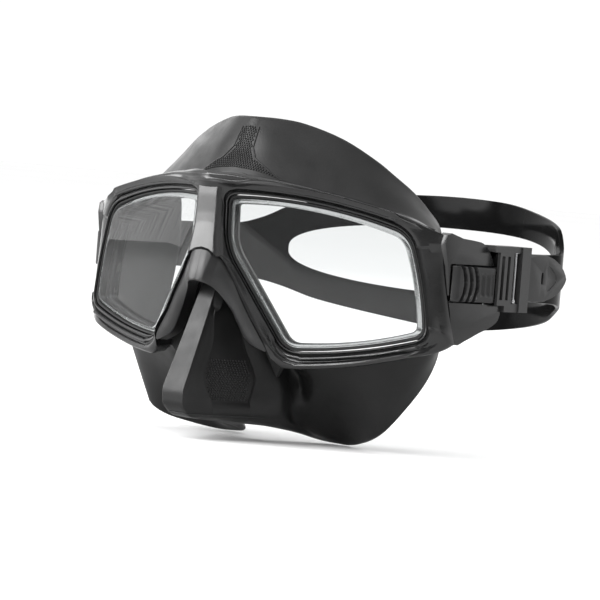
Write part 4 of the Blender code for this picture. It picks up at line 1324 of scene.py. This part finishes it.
def strap_stations():
    """Along half of the strap: place, direction outwards, angle, half the gap between the two bands."""
    split_angle = math.degrees(math.acos(SPLIT_HALF_WIDTH / STRAP_HALF_WIDTH))
    angles = [split_angle * k / 18 for k in range(19)]
    angles += [split_angle + step for step in (0.08, 0.25, 0.6, 1.2, 2.0, 3.2, 5.0, 7.0)]
    angles += [split_angle + 9 + (81 - split_angle) * k / 18 for k in range(19)]
    tall = (SPLIT_Z[1] - SPLIT_Z[0]) / 2
    made = [(Vector((STRAP_LEG_X, y, 0)), Vector((1, 0, 0)), 0.0, 0.0)
            for y in (STRAP_FRONT_Y, 66.5, 69.0, 71.5, 73.5)]
    for angle in angles:
        here = strap_point(angle)
        ahead = strap_point(angle + 0.5) - strap_point(max(angle - 0.5, 0.0))
        if angle >= 89.99:
            ahead = Vector((-1, 0, 0))
            here.x = 0.0
        outward = Vector((ahead.y, -ahead.x, 0)).normalized()
        share = min(here.x / SPLIT_HALF_WIDTH, 1.0)
        gap = tall * max(0.0, 1 - share**2.5) ** 0.4 if angle > split_angle else 0.0
        made.append((here, outward, angle, gap))
    return made


def make_strap():
    """Two bands with one section each, which are one band where there is no gap between them."""
    stations = strap_stations()
    middle = (SPLIT_Z[0] + SPLIT_Z[1]) / 2
    shape = bmesh.new()
    for upper in (True, False):
        rings = []
        for here, outward, angle, gap in stations:
            soft = min(STRAP_SOFT, gap)
            if upper:
                top = smooth_table(STRAP_TOP, angle)
                section = band_section(here, outward, middle + gap, top, soft, STRAP_SOFT)
            else:
                bottom = smooth_table(STRAP_BOTTOM, angle)
                section = band_section(here, outward, bottom, middle - gap, STRAP_SOFT, soft)
            rings.append([shape.verts.new(point) for point in section])
        inner_wall = (11, 0) if upper else (5, 6)
        for i in range(len(rings) - 1):
            closed = stations[i][3] == stations[i + 1][3] == 0.0
            for k in range(len(rings[i])):
                n = (k + 1) % len(rings[i])
                flat = (rings[i][k].co - rings[i][n].co).length < 1e-6
                if not (closed and ((k, n) == inner_wall or flat)):
                    shape.faces.new((rings[i][k], rings[i + 1][k], rings[i + 1][n], rings[i][n]))
        shape.faces.new(rings[0])
    bmesh.ops.remove_doubles(shape, verts=shape.verts, dist=0.0005)
    mirror_shape(shape)
    piece = make_piece("strap_band", shape, "clip_left", "strap_silicone", 40.0, "strap")
    anchor = shift((0, ROLLER_XY[1], 0))
    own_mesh(piece)


def make_wraps():
    """The turn of the strap round the roller, its inner run and the start of its outer run."""
    radius = (STRAP_TAIL_X - STRAP_LEG_X) / 2
    half = STRAP_THICKNESS / 2 - 0.06
    middle = sum(WRAP_Z) / 2
    tall = (WRAP_Z[1] - WRAP_Z[0]) / 2
    path = [((STRAP_LEG_X, y), (-1, 0)) for y in (69.0, 65.5)]
    for step in range(17):
        x, y = -math.cos(math.pi * step / 16), -math.sin(math.pi * step / 16)
        path.append(((ROLLER_XY[0] + radius * x, ROLLER_XY[1] + radius * y), (x, y)))
    path += [((STRAP_TAIL_X, y), (1, 0)) for y in (65.5, 70.0, 76.5)]
    spots = []
    for side, up, order in ((1, 1, 1), (-1, 1, -1), (-1, -1, 1), (1, -1, -1)):
        spots += [(side * (half - a), middle + up * (tall - b)) for a, b in WRAP_CORNER[::order]]
    rows = [[Vector((x + out_x * out, y + out_y * out, z)) for out, z in spots]
            for (x, y), (out_x, out_y) in path]
    both("strap_wrap_shell", loft(bmesh.new(), rows), "clip_{}", "strap_silicone", 40.0, "strap_wrap_{}")


def make_tails():
    half = STRAP_THICKNESS / 2
    tail = prism(TAIL_OUTLINE, STRAP_TAIL_X - half, STRAP_TAIL_X + half, "X")
    cut(tail, block(*TAIL_SLOT))
    cut(tail, prism(rounded(TAIL_HOLE, 2), 80, 90, "X"))
    cut(tail, prism(rounded(TAIL_LEAF, 4), STRAP_TAIL_X + half - 0.45, 90, "X"))
    soften(tail, 0.35)
    both("strap_tail_shell", shape_of(tail), "strap_tail_{}", "strap_silicone", 40.0, "strap_tail_{}",
         ("strap_end",))


# ---------------------------------------------------------------- studio

CAMERA_TURN = math.radians(38)
CAMERA_RISE = math.radians(0.88)
CAMERA_ROLL = math.radians(4.58)
CAMERA_DISTANCE = 1.744
CAMERA_SENSOR = 36.0
CAMERA_LENS = 297.12
CAMERA_AIM = (30.006, -36.31)
FLOOR_DROP = 0.0005
FLOOR_MIRRORED = 0.5
WORLD_BRIGHT = 1.06
WORLD_DIM = 0.2
DIM_SIDE = (0.5, -0.866, 0.0)
STREAK_SCALE = (1.0, 260.0, 6.0)
STREAK_RANGE = (0.9, 2.3)
STUDIO_CENTRE = (0.0, 0.0, 0.05)
# Name, place, size, radiance.
PANELS = (
    ("front_panel", (-1.25, -1.5, 0.9), (1.2, 1.8), 8.5),
    ("side_panel", (-1.7, 0.9, 0.6), (0.6, 1.2), 1.6),
    ("top_panel", (-0.1, -0.5, 1.7), (1.2, 0.4), 1.6),
    ("strip_panel", (0.15, -1.6, 1.2), (1.5, 0.22), 12.0),
)


def make_camera():
    """Aims beside the mask's datum. CAMERA_AIM is in millimetres, right and up as the camera is rolled."""
    turn, rise, roll = CAMERA_TURN, CAMERA_RISE, CAMERA_ROLL
    right = Vector((math.cos(turn), math.sin(turn), 0))
    back = Vector((math.sin(turn) * math.cos(rise), -math.cos(turn) * math.cos(rise), math.sin(rise)))
    up = back.cross(right)
    right, up = right * math.cos(roll) + up * math.sin(roll), up * math.cos(roll) - right * math.sin(roll)
    sight = (right * CAMERA_AIM[0] + up * CAMERA_AIM[1]) * MM - back * CAMERA_DISTANCE
    forward = sight.normalized()
    right = (right - forward * right.dot(forward)).normalized()
    data = bpy.data.cameras.new("camera")
    data.sensor_width = CAMERA_SENSOR
    data.lens = CAMERA_LENS
    data.clip_start = 0.05
    data.clip_end = 50.0
    camera = link_object("camera", data)
    rotation = Matrix((right, right.cross(forward), -forward)).transposed()
    camera.matrix_world = Matrix.Translation(back * CAMERA_DISTANCE + DATUM) @ rotation.to_4x4()
    bpy.context.scene.camera = camera


def make_floor():
    shape = bmesh.new()
    bmesh.ops.create_grid(shape, x_segments=4, y_segments=4, size=6.0)
    bmesh.ops.translate(shape, vec=(0, 0, -FLOOR_DROP), verts=shape.verts)
    floor = to_object("floor", shape)
    material, tree, shader, where = new_material("floor")
    tone = mixed(tree, "RGBA", ranged(tree, noise(tree, where, 3.0), 0.0, 1.0), grey(0.93), grey(0.96))
    glossy = node(tree, "LightPath").outputs["Is Glossy Ray"]
    seen = mixed(tree, "RGBA", glossy, tone, grey(FLOOR_MIRRORED))
    feed(tree, shader, {"Base Color": seen, "Roughness": 0.9})
    floor.data.materials.append(material)


def make_panel(name, spot, size, radiance):
    """A soft light aimed at the mask: radiance is how bright its face looks."""
    data = bpy.data.lights.new(name, "AREA")
    data.shape = "RECTANGLE"
    data.size, data.size_y = size
    data.energy = radiance * math.pi * size[0] * size[1]
    light = link_object(name, data)
    light.location = spot
    light.rotation_euler = (Vector(STUDIO_CENTRE) - Vector(spot)).to_track_quat("-Z", "Y").to_euler()


def facing(tree, where, direction):
    """How far a direction of view points along another: 1 where they are the same."""
    return node(tree, "VectorMath", {0: where, 1: direction}, operation="DOT_PRODUCT").outputs["Value"]


def make_world():
    """White all round for the backdrop. What the mask mirrors is dimmer on the side of the viewer."""
    world = bpy.data.worlds.new("studio")
    world.use_nodes = True
    tree = world.node_tree
    where = node(tree, "TexCoord").outputs["Generated"]
    toward = facing(tree, where, DIM_SIDE)
    dim = ranged(tree, toward, WORLD_BRIGHT, WORLD_DIM, 0.0, 0.75, interpolation_type="SMOOTHSTEP")
    stretched = node(tree, "Mapping", {"Vector": where, "Scale": STREAK_SCALE}).outputs["Vector"]
    streaks = ranged(tree, noise(tree, stretched, 1.0), *STREAK_RANGE)
    leftward = facing(tree, where, (-1.0, 0.0, 0.0))
    wall = ranged(tree, leftward, 0.0, 1.0, 0.93, 0.97, interpolation_type="SMOOTHSTEP")
    glossy = node(tree, "LightPath").outputs["Is Glossy Ray"]
    strength = mixed(tree, "FLOAT", glossy, WORLD_BRIGHT, mixed(tree, "FLOAT", wall, dim, streaks))
    feed(tree, tree.nodes["Background"], {"Color": (1.0, 1.0, 1.0, 1.0), "Strength": strength})
    bpy.context.scene.world = world


MATERIALS = make_materials()
make_camera()
make_floor()
make_world()
for panel in PANELS:
    make_panel(*panel)
bpy.context.scene.view_settings.view_transform = "Standard"
make_frame()
make_brow()
make_post()
make_arch()
make_lenses()
make_lens_rings("lens_seal_ring", "gasket", SEAL_SECTION, "lens_seal_{}")
make_lens_rings("lens_retainer_ring", "trim_plastic", RETAINER_SECTION, "lens_retainer_{}")
make_skirt()
make_side_arms()
make_clips()
make_release_tabs()
make_pins()
make_strap()
make_wraps()
make_tails()
